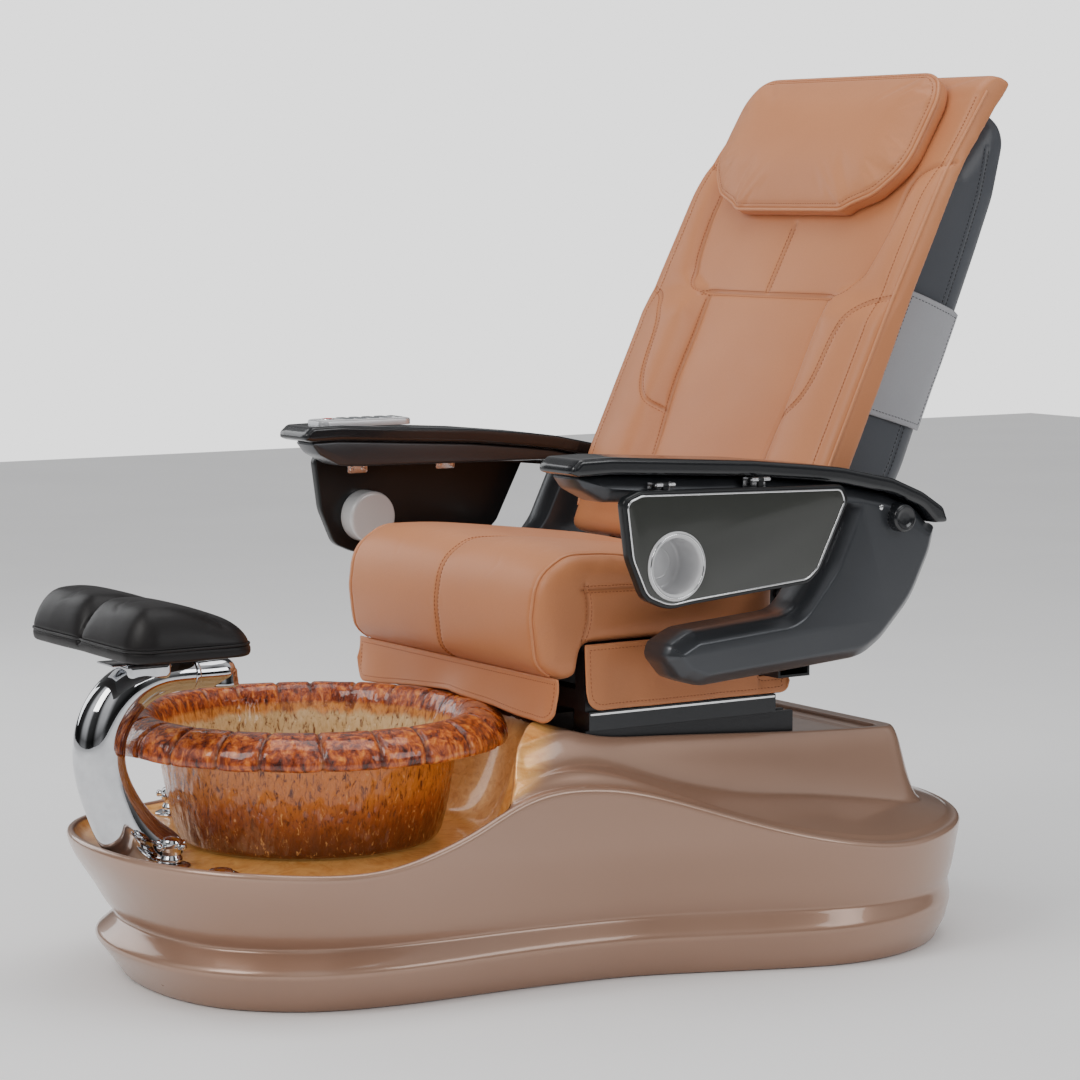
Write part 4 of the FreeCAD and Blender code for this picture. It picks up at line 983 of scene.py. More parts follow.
def outer_top(x, y, d):
    R = ridge(y)
    w = np.exp(-(((y + 150) / 125) ** 2))
    deck = R + w * 38 * (1 - np.exp(-np.maximum(d - 8, 0) / 24)) + (1 - w) * 0.38 * smin(np.maximum(d - 8, 0), 150 + 0 * d, 40)
    sd = rect_sd(x, y, 0, 117.5, 334, 407.5, 74)
    wall = 200 + np.maximum(-sd, -40) * 3.83
    pt = ped_top(y) - 42 * smoothstep(np.abs(x), 205, 305) * smoothstep(y, -120, -245)
    ped = smin(wall, pt, 34)
    z = smax(deck, ped, 46)
    ts = smin(-rect_sd(x, y, 0, 176, 283, 280, 22), rho(x, y) - 352, 16)
    cutz = smax(322 + 0 * ts, pt + 5 - 5.0 * ts, 10)
    z = np.where(ts > -12, smin(z, cutz, 9), z)
    return z


def build_base():
    V = []
    for e, z in RINGS:
        V.append(np.column_stack([OUT + NIN * np.asarray(e)[:, None], np.broadcast_to(z, (NB,))]))
    nside = len(V)
    # loops the top runs through: the pedestal's foot, the tray's edge, the middle line
    C = np.array([0, 150.0])
    D = P0 - C
    L0 = np.linalg.norm(D, axis=1)
    D /= L0[:, None]

    def ray_rect(cy, hx, hy, r):
        lo, hi = np.zeros(NB), L0.copy()
        for _ in range(40):
            mid = (lo + hi) / 2
            p = C + D * mid[:, None]
            ins = rect_sd(p[:, 0], p[:, 1], 0, cy, hx, hy, r) < 0
            lo, hi = np.where(ins, mid, lo), np.where(ins, hi, mid)
        return np.minimum(lo, L0 - 4)

    A = ray_rect(117.5, 336, 409, 76)
    Bq = ray_rect(176, 281, 278, 22)
    Bq = np.minimum(Bq, A - 8)
    Z = [L0]
    for k in range(1, 23):
        g = L0 - A
        near = np.minimum(46, 0.55 * g)
        Z.append(L0 - near * (k / 22))
    last = Z[-1]
    for k in range(1, 21):
        Z.append(last + (A - last) * (k / 20))
    for k in range(1, 33):
        Z.append(A + (Bq - A) * (k / 32))
    for k in range(1, 37):
        Z.append(Bq * (1 - k / 37.0) ** 1.0)
    top = []
    for q in Z[1:]:
        top.append(C + D * q[:, None])
    # the innermost loop stops short of the centre point, so that the rays do not meet in one point
    T = np.array(top)
    nt = len(T)
    X, Y = T[..., 0].copy(), T[..., 1].copy()
    d = edge_dist(X, Y)
    sb = recess_sd(X, Y, d)
    # pull the points of faces that cross the recess edge onto it
    full = np.vstack([P0[None, :, :], T])
    FX, FY = full[..., 0].copy(), full[..., 1].copy()
    fd = np.vstack([TOP_IN[None, :], d])
    fs = np.vstack([recess_sd(FX[:1], FY[:1], fd[:1]), sb])
    ins = fs > 0
    quad_in = ins[:-1] | ins[1:] | np.roll(ins[:-1], -1, 1) | np.roll(ins[1:], -1, 1)
    quad_out = (~ins[:-1]) | (~ins[1:]) | np.roll(~ins[:-1], -1, 1) | np.roll(~ins[1:], -1, 1)
    mixed = quad_in & quad_out
    near = np.zeros_like(ins)
    near[:-1] |= mixed
    near[1:] |= mixed
    near[:-1] |= np.roll(mixed, 1, 1)
    near[1:] |= np.roll(mixed, 1, 1)
    move = near & ins
    move[0] = False
    ii = np.where(move)
    px, py = FX[ii], FY[ii]
    for _ in range(9):
        h = 0.6
        dd = edge_dist(px, py)
        f0 = recess_sd(px, py, dd)
        gx = (recess_sd(px + h, py, edge_dist(px + h, py)) - f0) / h
        gy = (recess_sd(px, py + h, edge_dist(px, py + h)) - f0) / h
        g2 = np.maximum(gx * gx + gy * gy, 0.2)
        px, py = px - 0.85 * f0 * gx / g2, py - 0.85 * f0 * gy / g2
    FX[ii], FY[ii] = px, py
    fd[ii] = edge_dist(px, py)
    fs[ii] = 0
    FZ = outer_top(FX, FY, fd)
    FZ[0] = RINGS[-1][1]
    # blend the first millimetres into the rounded ridge
    wgt = smoothstep(fd - TOP_IN[None, :], 0, 16)
    FZ = np.where(fd - TOP_IN[None, :] < 16, (1 - wgt) * (ridge(FY) + 0.15 * (fd - TOP_IN[None, :])) + wgt * FZ, FZ)
    # a rounded lip down into the recess
    lip = np.clip(fs + 6.0, 0, 6.0)
    FZ = FZ - (6 - np.sqrt(np.maximum(36 - lip * lip, 0)))
    keep = ~(quad_in & ~mixed)
    base_n = nside * NB
    for k in range(1, nt + 1):
        V.append(np.column_stack([FX[k], FY[k], FZ[k]]))
    V[nside - 1] = np.column_stack([FX[0], FY[0], FZ[0]])
    allV = np.vstack(V)
    F = grid_faces(nside, NB).tolist()
    c = np.arange(NB)
    for k in range(nt):
        r0, r1 = (nside - 1 + k) * NB, (nside + k) * NB
        for i in c[keep[k]]:
            j = (i + 1) % NB
            F.append((r0 + i, r0 + j, r1 + j, r1 + i))
    lastr = (nside - 1 + nt) * NB
    if keep[-1].all():
        F.append(tuple(range(lastr, lastr + NB)))
    # drop points that nothing uses
    F = [f for f in F if len(set(f)) > 2]
    used = np.unique(np.array([v for f in F for v in f]))
    remap = -np.ones(len(allV), int)
    remap[used] = np.arange(len(used))
    F = [tuple(int(remap[v]) for v in f) for f in F]
    allV = allV[used]
    nv = len(allV)
    # ---- the recess itself, in rings round the bowl
    nr = 480
    a = np.arange(nr) * 2 * math.pi / nr
    lo, hi = np.full(nr, 150.0), np.full(nr, 430.0)
    ca, sa = np.cos(a), np.sin(a)
    for _ in range(34):
        mid = (lo + hi) / 2
        X2, Y2 = mid * ca, -415 + mid * sa
        s2 = recess_sd(X2, Y2, edge_dist(X2, Y2))
        # outside the outline the distance is not signed, so the far side counts as outside
        far = np.hypot(X2, Y2 + 415) > 372
        inn = (s2 > 0) & ~far
        lo, hi = np.where(inn, mid, lo), np.where(inn, hi, mid)
    rb = lo
    XB, YB = rb * ca, -415 + rb * sa
    zB = outer_top(XB, YB, edge_dist(XB, YB))
    zB = np.where(edge_dist(XB, YB) - 9 < 16, np.minimum(zB, ridge(YB) + 40), zB) - 6
    wid = 13 + 0.44 * (zB - 200)
    R2, A2 = [], []
    ks = np.r_[np.linspace(0, 1, 26) ** 1.15]
    for q in ks:
        r = rb - wid * q
        z = 200 + (zB - 200) * ((1 - q) ** 2.1)
        R2.append(np.column_stack([r * ca, -415 + r * sa, z]))
    r_in = rb - wid
    for q in (0.15, 0.35, 0.6, 0.8, 1.0):
        r = r_in * (1 - q) + 165 * q
        R2.append(np.column_stack([r * ca, -415 + r * sa, np.full(nr, 200.0)]))
    RV = np.vstack(R2)
    F += [tuple(int(v) + nv for v in f) for f in grid_faces(len(R2), nr)]
    me_V = np.vstack([allV, RV])
    ob = make("base_body", me_V, F, [MAT["base_gloss"]], "root", "base_gloss", ["base_shell"])
    # painted light, 0 to 1: where the glass's light falls on the recess; the base material turns it gold and makes it
    # glow
    painted_glass_light = np.zeros(len(me_V))
    x, y = RV[:, 0], RV[:, 1]
    e = np.repeat(np.arange(len(R2)), nr)
    soft = np.clip((e + 1) / 4.0, 0, 1)
    painted_glass_light[nv:] = soft * smoothstep(y + 0.10 * np.abs(x), -742, -640) * 1.0
    # the painted light runs on up the inner slopes, as far as the ridge and the foot of the seat's plinth
    ex, ey = allV[:, 0], allV[:, 1]
    pick = np.where((ey > -700) & (ey < -120) & (np.abs(ex) < 345) & (allV[:, 2] > 190))[0]
    de = edge_dist(ex[pick], ey[pick])
    inn = smoothstep(de, 14, 22) * smoothstep(rho(ex[pick], ey[pick]), 392, 356) * smoothstep(ey[pick], -700, -640)
    painted_glass_light[pick] = np.where((ex[pick] ** 2 + (ey[pick] + 415) ** 2 < 430 ** 2), inn, 0)
    at = ob.data.attributes.new("painted_glass_light", "FLOAT", "POINT")
    at.data.foreach_set("value", painted_glass_light.astype(np.float32))
    return ob


BASE = build_base()


def build_access_panel():
    """The service cover at the rear: follows the wall, stands a little proud, held by four screws."""
    ids = [i for i in range(NB) if OUT[i, 1] > 500 and abs(OUT[i, 0]) < 149]
    ids.sort(key=lambda i: OUT[i, 0])
    E = np.array([np.broadcast_to(e, (NB,)) for e, _ in RINGS])
    H = np.array([np.broadcast_to(z, (NB,)) for _, z in RINGS])
    nz = 22

    def wall(i, z, off):
        e = np.interp(z, H[2:, i], E[2:, i]) - off
        p = OUT[i] + NIN[i] * e
        return (p[0], p[1], z)

    n = len(ids)
    zs = np.linspace(106, 172, nz)
    V, F = [], []
    rings = [(-2.0, 0), (1.2, 0), (2.0, 1), (2.2, 2)]
    out = np.zeros((nz, n, 3))
    for k, z in enumerate(zs):
        for j, i in enumerate(ids):
            u = min(j, n - 1 - j) * 2.35
            v = min(z - 106, 172 - z)
            edge = min(u, v)
            off = 2.4 - 1.6 * math.exp(-edge / 1.2) - (0.9 if abs(edge - 7.5) < 1.0 else 0)
            out[k, j] = wall(i, z, off)
    V = out.reshape(-1, 3)
    F = grid_faces(nz, n, False).tolist()
    rim = [(0, j) for j in range(n)] + [(k, n - 1) for k in range(1, nz)] + [(nz - 1, j) for j in range(n - 2, -1, -1)] + [(k, 0) for k in range(nz - 2, 0, -1)]
    idx = [k * n + j for k, j in rim]
    inner = np.array([wall(ids[j], zs[k], -3.0) for k, j in rim])
    base = len(V)
    V = np.vstack([V, inner])
    m = len(idx)
    for a in range(m):
        b = (a + 1) % m
        F.append((idx[a], idx[b], base + b, base + a))
    F.append(tuple(range(base, base + m))[::-1])
    pt = Parts()
    pt.add(V, F, 0)
    for j in (6, n - 7):
        for z in (117, 161):
            c = np.array(wall(ids[j], z, 1.6))
            nrm = -NIN[ids[j]]
            W, G = turned(soften([(0.3, 0), (4.6, 0), (4.6, 1.2), (3.6, 2.2), (1.4, 2.5), (1.2, 1.7), (0.3, 1.7)], 0.4, 2), 28)
            t = np.array([-nrm[1], nrm[0]])
            Q = np.column_stack([c[0] + t[0] * W[:, 0] + nrm[0] * W[:, 2], c[1] + t[1] * W[:, 0] + nrm[1] * W[:, 2], c[2] + W[:, 1]])
            pt.add(Q, G, 1)
    make_parts("service_cover", pt, [MAT["base_gloss"], MAT["hinge_steel"]], body="root", slot="base_gloss", replaces=["access_panel"], angle=40)


build_access_panel()


# ------------------------------------------------------------------ the bowl
def build_bowl():
    prof = [(187, 203.2, 0), (193, 205, 0), (198, 214, 0), (203, 230, 0), (208, 250, 0), (213, 275, 0), (217, 300, 0), (220, 325, 0), (222, 345, 0), (225, 356, 0),
            (231, 366, 0), (241, 373, 1), (255, 374, 1), (270, 368, 1), (283, 358, 1), (291, 350, 1), (297.5, 349, 1), (301, 354, 1), (300.5, 363, 1), (296, 374, 1),
            (287, 384, 1), (275, 392, 1), (262, 397, 1), (250, 398.5, 1), (240, 396.5, 1), (233, 390, 1), (227, 379, 2), (221, 360, 2), (215, 335, 2), (210, 305, 2),
            (205, 275, 2), (199, 248, 2), (191, 228, 2), (178, 215.5, 2), (158, 211.5, 2), (110, 211, 2), (30, 211, 2), (28, 208, 0), (28, 203.4, 0), (110, 203.2, 0)]
    sp = Spline([p[:2] for p in prof[:-4]], power=0.6)
    n1 = 104
    q = sp(np.linspace(0, 1, 1200))
    s = np.r_[0, np.cumsum(np.linalg.norm(np.diff(q, axis=0), axis=1))]
    u = np.linspace(0, s[-1], n1)
    line = np.column_stack([np.interp(u, s, q[:, 0]), np.interp(u, s, q[:, 1])])
    line = np.vstack([line, [(110, 211), (30, 211), (28, 208), (28, 203.4), (110, 203.2)]])
    zc = line[:, 1]
    idx = np.arange(len(line))
    crest = int(np.argmax(line[:, 1]))
    edge = int(np.argmax(line[:, 0]))
    under = [i for i in idx if i < edge and line[i, 1] > 362 and line[i, 0] > 228][0]
    part = np.zeros(len(line))
    part[under:crest + 8] = 1
    part[crest + 8:n1 + 2] = 2
    na = 720
    a = np.arange(na) * 2 * math.pi / na
    rnd = random.Random(11)
    ncr = 23
    ca = [(k + 0.5 + rnd.uniform(-0.16, 0.16)) * 2 * math.pi / ncr for k in range(ncr)]
    sk = [rnd.uniform(-0.035, 0.035) for _ in range(ncr)]
    R = np.repeat(line[:, 0][:, None], na, 1)
    Z = np.repeat(line[:, 1][:, None], na, 1)
    crease = np.zeros_like(R)
    lipw = np.zeros(len(line))
    for i in range(len(line)):
        if under <= i <= crest + 10:
            lipw[i] = smoothstep(i, under, under + 6) * (1 - smoothstep(i, crest + 2, crest + 10))
    pos = np.clip((line[:, 0] - 240) / 60, 0, 1)
    for c, k in zip(ca, sk):
        d = np.abs((a[None, :] - c - k * pos[:, None] + math.pi) % (2 * math.pi) - math.pi)
        crease = np.maximum(crease, np.exp(-((d / 0.0125) ** 2)))
    crease *= lipw[:, None]
    # lobes of the pressed lip between the creases, and a slow wave
    wob = np.array([noise.noise(Vector((2.2 * math.cos(t), 2.2 * math.sin(t), 3.1))) for t in a])
    wob2 = np.array([noise.noise(Vector((5.5 * math.cos(t), 5.5 * math.sin(t), 8.1))) for t in a])
    R += lipw[:, None] * (3.2 * wob + 1.8 * wob2)[None, :] * pos[:, None] - 4.2 * crease * (0.3 + 0.7 * pos[:, None])
    Z += lipw[:, None] * (3.0 * wob2 + 1.5 * wob)[None, :] * pos[:, None] - 3.2 * crease * (Z > 372) + 1.4 * crease * (Z < 356)
    # hammered, upright grain in the wall
    P = np.zeros((len(line), na))
    for i in range(len(line)):
        zi = line[i, 1]
        for j in range(na):
            x, y = math.cos(a[j]) * 13.0, math.sin(a[j]) * 13.0
            P[i, j] = noise.noise(Vector((x, y, zi / 19.0))) + 0.55 * noise.noise(Vector((x * 2.6, y * 2.6, zi / 9.0)))
    amp = np.where(part == 0, 1.9, np.where(part == 1, 1.1, 1.2)) * smoothstep(zc, 206, 216)
    amp[n1 + 2:] = 0
    sgn = np.where(idx <= crest, 1.0, -1.0)
    R += amp[:, None] * P * sgn[:, None]
    V = np.zeros((len(line), na, 3))
    V[..., 0] = R * np.cos(a)
    V[..., 1] = -415 + R * np.sin(a)
    V[..., 2] = Z
    F = grid_faces(len(line), na).tolist()
    k = (len(line) - 1) * na
    F += [(k + i, k + (i + 1) % na, (i + 1) % na, i) for i in range(na)]
    ob = make("bowl_body", V.reshape(-1, 3), F, [MAT["bowl_glass"]], "root", "bowl_glass", ["basin_bowl"])
    # crease also carries painted shade: the glass material darkens its colour along the creases
    for nm, val in (("part", np.repeat(part, na)), ("crease", crease.ravel())):
        at = ob.data.attributes.new(nm, "FLOAT", "POINT")
        at.data.foreach_set("value", np.asarray(val, np.float32))
    return ob


BOWL = build_bowl()


# ------------------------------------------------------------------ pillar, sprayer, valves
def build_pillar():
    secs = np.array([(-684, 192, 56, 46, -18), (-684, 202, 55, 45, -18), (-703, 226, 48, 41, -24), (-737, 276, 40, 38, -20), (-757, 330, 37, 37, -6), (-757, 382, 37.5, 37, 10),
                     (-737, 424, 39, 36, 32), (-704, 452, 36, 34, 60), (-664, 461, 26, 27, 84), (-636, 462, 22.5, 23, 90), (-612, 462, 22, 22, 90)], float)
    sp = Spline(secs[:, :2])
    u = sp.t / sp.t[-1]
    q = np.linspace(0, 1, 110)
    yz = sp(q)
    a, b, t = (np.interp(q, u, secs[:, k]) for k in (2, 3, 4))
    for _ in range(30):
        for r in (a, b, t):
            r[1:-1] = 0.5 * r[1:-1] + 0.25 * (r[:-2] + r[2:])
    n = 72
    g = np.arange(n) * 2 * math.pi / n
    V = np.zeros((len(q), n, 3))
    for i in range(len(q)):
        c, s = math.cos(math.radians(t[i])), -math.sin(math.radians(t[i]))
        # a firm edge front and back, as on a forged blade
        cu, su = np.cos(g), np.sin(g)
        m = 0.90
        cu, su = np.sign(cu) * np.abs(cu) ** m, np.sign(su) * np.abs(su) ** m
        V[i, :, 0] = b[i] * su
        V[i, :, 1] = yz[i, 0] + a[i] * cu * c
        V[i, :, 2] = yz[i, 1] + a[i] * cu * s
    V[..., 2] = smin(V[..., 2], 487 + 0 * V[..., 2], 5)
    pt = Parts()
    F = grid_faces(len(q), n).tolist()
    F.append(tuple(range(n))[::-1])
    F.append(tuple(range((len(q) - 1) * n, len(q) * n)))
    pt.add(V.reshape(-1, 3), F)
    # head block under the pad, and a thin plate on top of it
    loop = rounded([(-725, 462), (-655, 462), (-655, 487), (-725, 487)], [12, 10, 4, 4], 2)
    pt.add(*slab(loop, round_ends(-29, 29, 6, 6)))
    loop = rounded([(-750, 486), (-645, 486), (-645, 489.5), (-750, 489.5)], [1, 1, 1, 1], 2)
    pt.add(*slab(loop, round_ends(-24, 24, 1.4, 1.4, 3, 1)))
    make_parts("pillar_body", pt, [MAT["chrome"]], body="root", slot="chrome", replaces=["footrest_pillar"], angle=40)


build_pillar()


def build_sprayer():
    pt = Parts()
    prof = soften([(0, -626), (12, -626), (12, -612), (22.4, -611.6), (23, -610), (23, -605), (21.6, -604), (21.2, -603), (21.8, -585), (22.6, -566)], 0.8, 2).tolist()
    prof += [(22.6 * math.cos(math.radians(k)), -562 + 24 * math.sin(math.radians(k))) for k in range(5, 86, 8)] + [(0.4, -538)]
    V, F = turned(prof, 72, (0, 0, 462), "y")
    pt.add(V, F)
    pr = soften([(0, 446), (17.2, 446), (17.6, 441.6), (18.8, 440.6), (21.6, 440.8), (23.2, 443), (22.9, 448), (21.6, 456), (21.0, 464), (15, 473), (0.5, 479)], 1.4, 3)
    V, F = turned(pr, 72, (0, -557, 0), "z")
    pt.add(V, F)
    V, F = turned([(0.3, 441.2), (8, 441.0), (16.8, 441.6), (17.4, 442.4), (17.4, 446), (0.3, 446)], 60, (0, -557, 0), "z")
    pt.add(V, F, 1)
    for r, k in ((0.01, 1), (5, 7), (9.6, 13), (14, 19)):
        for j in range(k):
            an = 2 * math.pi * j / k
            V, F = turned([(0.1, 439.7), (0.9, 440.0), (1.25, 440.8), (1.3, 442)], 8, (r * math.cos(an), -557 + r * math.sin(an), 0), "z")
            pt.add(V, F, 2)
    make_parts("sprayer_body", pt, [MAT["chrome"], MAT["spray_disc"], MAT["key_grey"]], body="sprayer", slot="chrome", replaces=["sprayer_head"], angle=40)
    pt = Parts()
    loop = rounded([(-599, 480.6), (-583, 480.2), (-576, 484.5), (-573, 489), (-579, 490.5), (-590, 487), (-599, 486)], [2, 4, 4, 2.6, 4, 8, 3], 1.2)
    pt.add(*slab(loop, round_ends(-5.4, 5.4, 1.6, 1.6, 4, 1.0)))
    make_parts("toggle_lever", pt, [MAT["chrome"]], body="toggle", slot="chrome", replaces=["sprayer_toggle"], angle=40)


build_sprayer()


def build_knob(name, node, x, y, body, turn):
    pt = Parts()
    hub = soften([(7, 206.8), (15, 206.8), (16.4, 209), (16, 212.5), (13, 218), (13.6, 223), (16.4, 229), (16.6, 236), (14.6, 240.5), (11.4, 242.4), (10.6, 241.6), (9.4, 242.2), (5, 243.8), (0.3, 244.4)], 1.0, 3)
    pt.add(*turned(hub, 60, (x, y, 0)))
    for k in range(4):
        a = turn + k * math.pi / 2
        arm = [(0, 8), (5.4, 8), (5.0, 14), (4.3, 18), (4.6, 21), (5.6, 23.4), (5.2, 25.6), (3.4, 27), (0.2, 27.4)]
        V, F = turned(soften(arm, 0.8, 2), 24, (0, 0, 0), "x")
        c, s = math.cos(a), math.sin(a)
        W = np.column_stack([x + V[:, 0] * c - V[:, 1] * s, y + V[:, 0] * s + V[:, 1] * c, V[:, 2] + 231])
        pt.add(W, F)
    make_parts(name, pt, [MAT["chrome"]], body=body, slot="chrome", replaces=[node], angle=40)


build_knob("hot_knob_body", "hot_valve_knob", 90, -690, "hot_knob", 0.35)
build_knob("cold_knob_body", "cold_valve_knob", -276, -505, "cold_knob", 0.6)
pt = Parts()
for x, y in ((90, -690), (-276, -505)):
    pt.add(*turned(soften([(11, 200.1), (28, 200.1), (28, 202.4), (26.4, 204.2), (21, 206.2), (12, 206.7), (11, 206.7)], 1.0, 3), 60, (x, y, 0), closed=True))
make_parts("escutcheon_rings", pt, [MAT["chrome"]], body="root", slot="chrome", replaces=["valve_escutcheons"], angle=40)
pt = Parts()
for x, y in ((192, -664), (-222, -476)):
    pt.add(*turned(soften([(19.0, 200.1), (28.5, 200.1), (28.5, 201.6), (27, 204.4), (23, 206.6), (19.6, 206.8), (19.0, 205.6)], 1.0, 3), 60, (x, y, 0), closed=True))
make_parts("bezel_rings", pt, [MAT["chrome"]], body="root", slot="chrome", replaces=["button_bezels"], angle=40)
for nm, node, x, y, body in (("jet_button_cap", "jet_button", 192, -664, "jet_push"), ("drain_button_cap", "drain_button", -222, -476, "drain_push")):
    V, F = turned(soften([(0.3, 199), (18, 199), (18, 208.6), (16.8, 210.6), (14.2, 211.6), (13.4, 210.9), (12.4, 211.5), (7, 212.9), (0.3, 213.4)], 0.9, 3), 60, (x, y, 0))
    make(nm, V, F, [MAT["chrome"]], body, "chrome", [node], angle=40)


# ------------------------------------------------------------------ soft goods
def plan_pad():
    out = rounded([(-186, -790), (-100, -792), (0, -790), (100, -792), (186, -790), (186, -600), (120, -588), (0, -590), (-120, -588), (-186, -600)],
                  [74, 120, 200, 120, 74, 66, 100, 200, 100, 66], 4)
    return out


def build_footpad():
    Q = plan_pad()
    n = len(Q)
    V = []

    def top(x, y, d):
        h = 80 * (1 - np.clip(1 - d / 44.0, 0, 1) ** 2.3) ** 0.5
        h = h * (1 - 0.40 * smoothstep(y, -730, -592)) * (1 - 0.10 * smoothstep(-y, 740, 792))
        h = h * (1 - 0.34 * np.exp(-(np.abs(x) / 15.0) ** 1.4)) * (1 - 0.10 * smoothstep(np.abs(x), 120, 186))
        return 509.2 + np.maximum(h, 0)

    ins = [0.6, 0.2, 0.0, 0.3, 1.2, 3, 6, 10, 15, 21, 28, 36, 45, 55, 66, 78]
    zb = [(14, 509.2), (4, 509.2), (1.0, 510.5), (0, 514)]
    for e, z in zb:
        V.append(np.column_stack([inset(Q, e), np.full(n, z)]))
    for e in (0.0, 1.0, 3.0, 6.0, 10.0, 15, 21, 28, 36, 45, 55, 66):
        L = inset(Q, e)
        z = np.maximum(top(L[:, 0], L[:, 1], e + 1.0), 515 + e * 0.3)
        V.append(np.column_stack([L, z]))
    L = inset(Q, 66)
    for w in np.linspace(0.08, 0.98, 12):
        M = L.copy()
        M[:, 1] = L[:, 1] * (1 - w) + -690 * w
        dd = 66 + 34 * w
        V.append(np.column_stack([M, top(M[:, 0], M[:, 1], dd)]))
    F = grid_faces(len(V), n).tolist()
    F.append(tuple(range(n))[::-1])
    k = (len(V) - 1) * n
    F.append(tuple(range(k, k + n)))
    ob = make("footpad_body", np.vstack(V), F, [MAT["black_leather"]])
    remesh(ob, 5)
    relax(ob, 2)
    P = numpy_mesh(ob)
    hold = np.where(P[:, 2] < 514, 1.0, 0.0)
    hold = np.maximum(hold, np.where(np.abs(P[:, 0]) < 4, 1.0, 0))
    puff(ob, 4.0, 7, hold)
    P = numpy_mesh(ob)
    P[:, 2] = np.maximum(P[:, 2], 508.6)
    set_mesh(ob, P)
    subdivide(ob)
    bv = bvh_of(ob)
    ys = np.linspace(-800, -580, 160)
    crease, _ = cast(bv, np.column_stack([np.zeros(160), ys, np.full(160, 700)]), (0, 0, -1))
    carve(ob, [crease], 5.0, 4.2)
    # seam low on the side, with a thin piping
    bv = bvh_of(ob)
    seam = []
    D = inset(Q, -20)
    tang = np.roll(D, -1, 0) - np.roll(D, 1, 0)
    tang /= np.linalg.norm(tang, axis=1)[:, None]
    nrm = np.column_stack([-tang[:, 1], tang[:, 0]])
    pts = []
    for p, d in zip(D, nrm):
        o, _ = cast(bv, np.array([[p[0], p[1], 527.0]]), (d[0], d[1], 0))
        if len(o):
            pts.append(o[0])
    pts = np.array(pts)
    pts = smooth_loop(pts, 3)
    carve(ob, [np.vstack([pts, pts[:1]])], 2.0, 3.0)
    pp = Parts()
    pp.add(*tube(pts, 1.9, 8, True))
    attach(ob, "footrest")
    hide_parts("footrest_pad")
    make_parts("footpad_piping", pp, [MAT["black_leather"]], body="footrest", slot="black_leather")
    return ob


build_footpad()


def seat_seams():
    pass


SEAT_Q = rounded([(-150, 449), (-116, 450), (-106, 500), (244, 500), (246, 598), (-66, 634), (-130, 636), (-182, 604), (-191, 540), (-182, 470)],
                 [14, 12, 16, 26, 36, 110, 60, 60, 60, 30], 5)


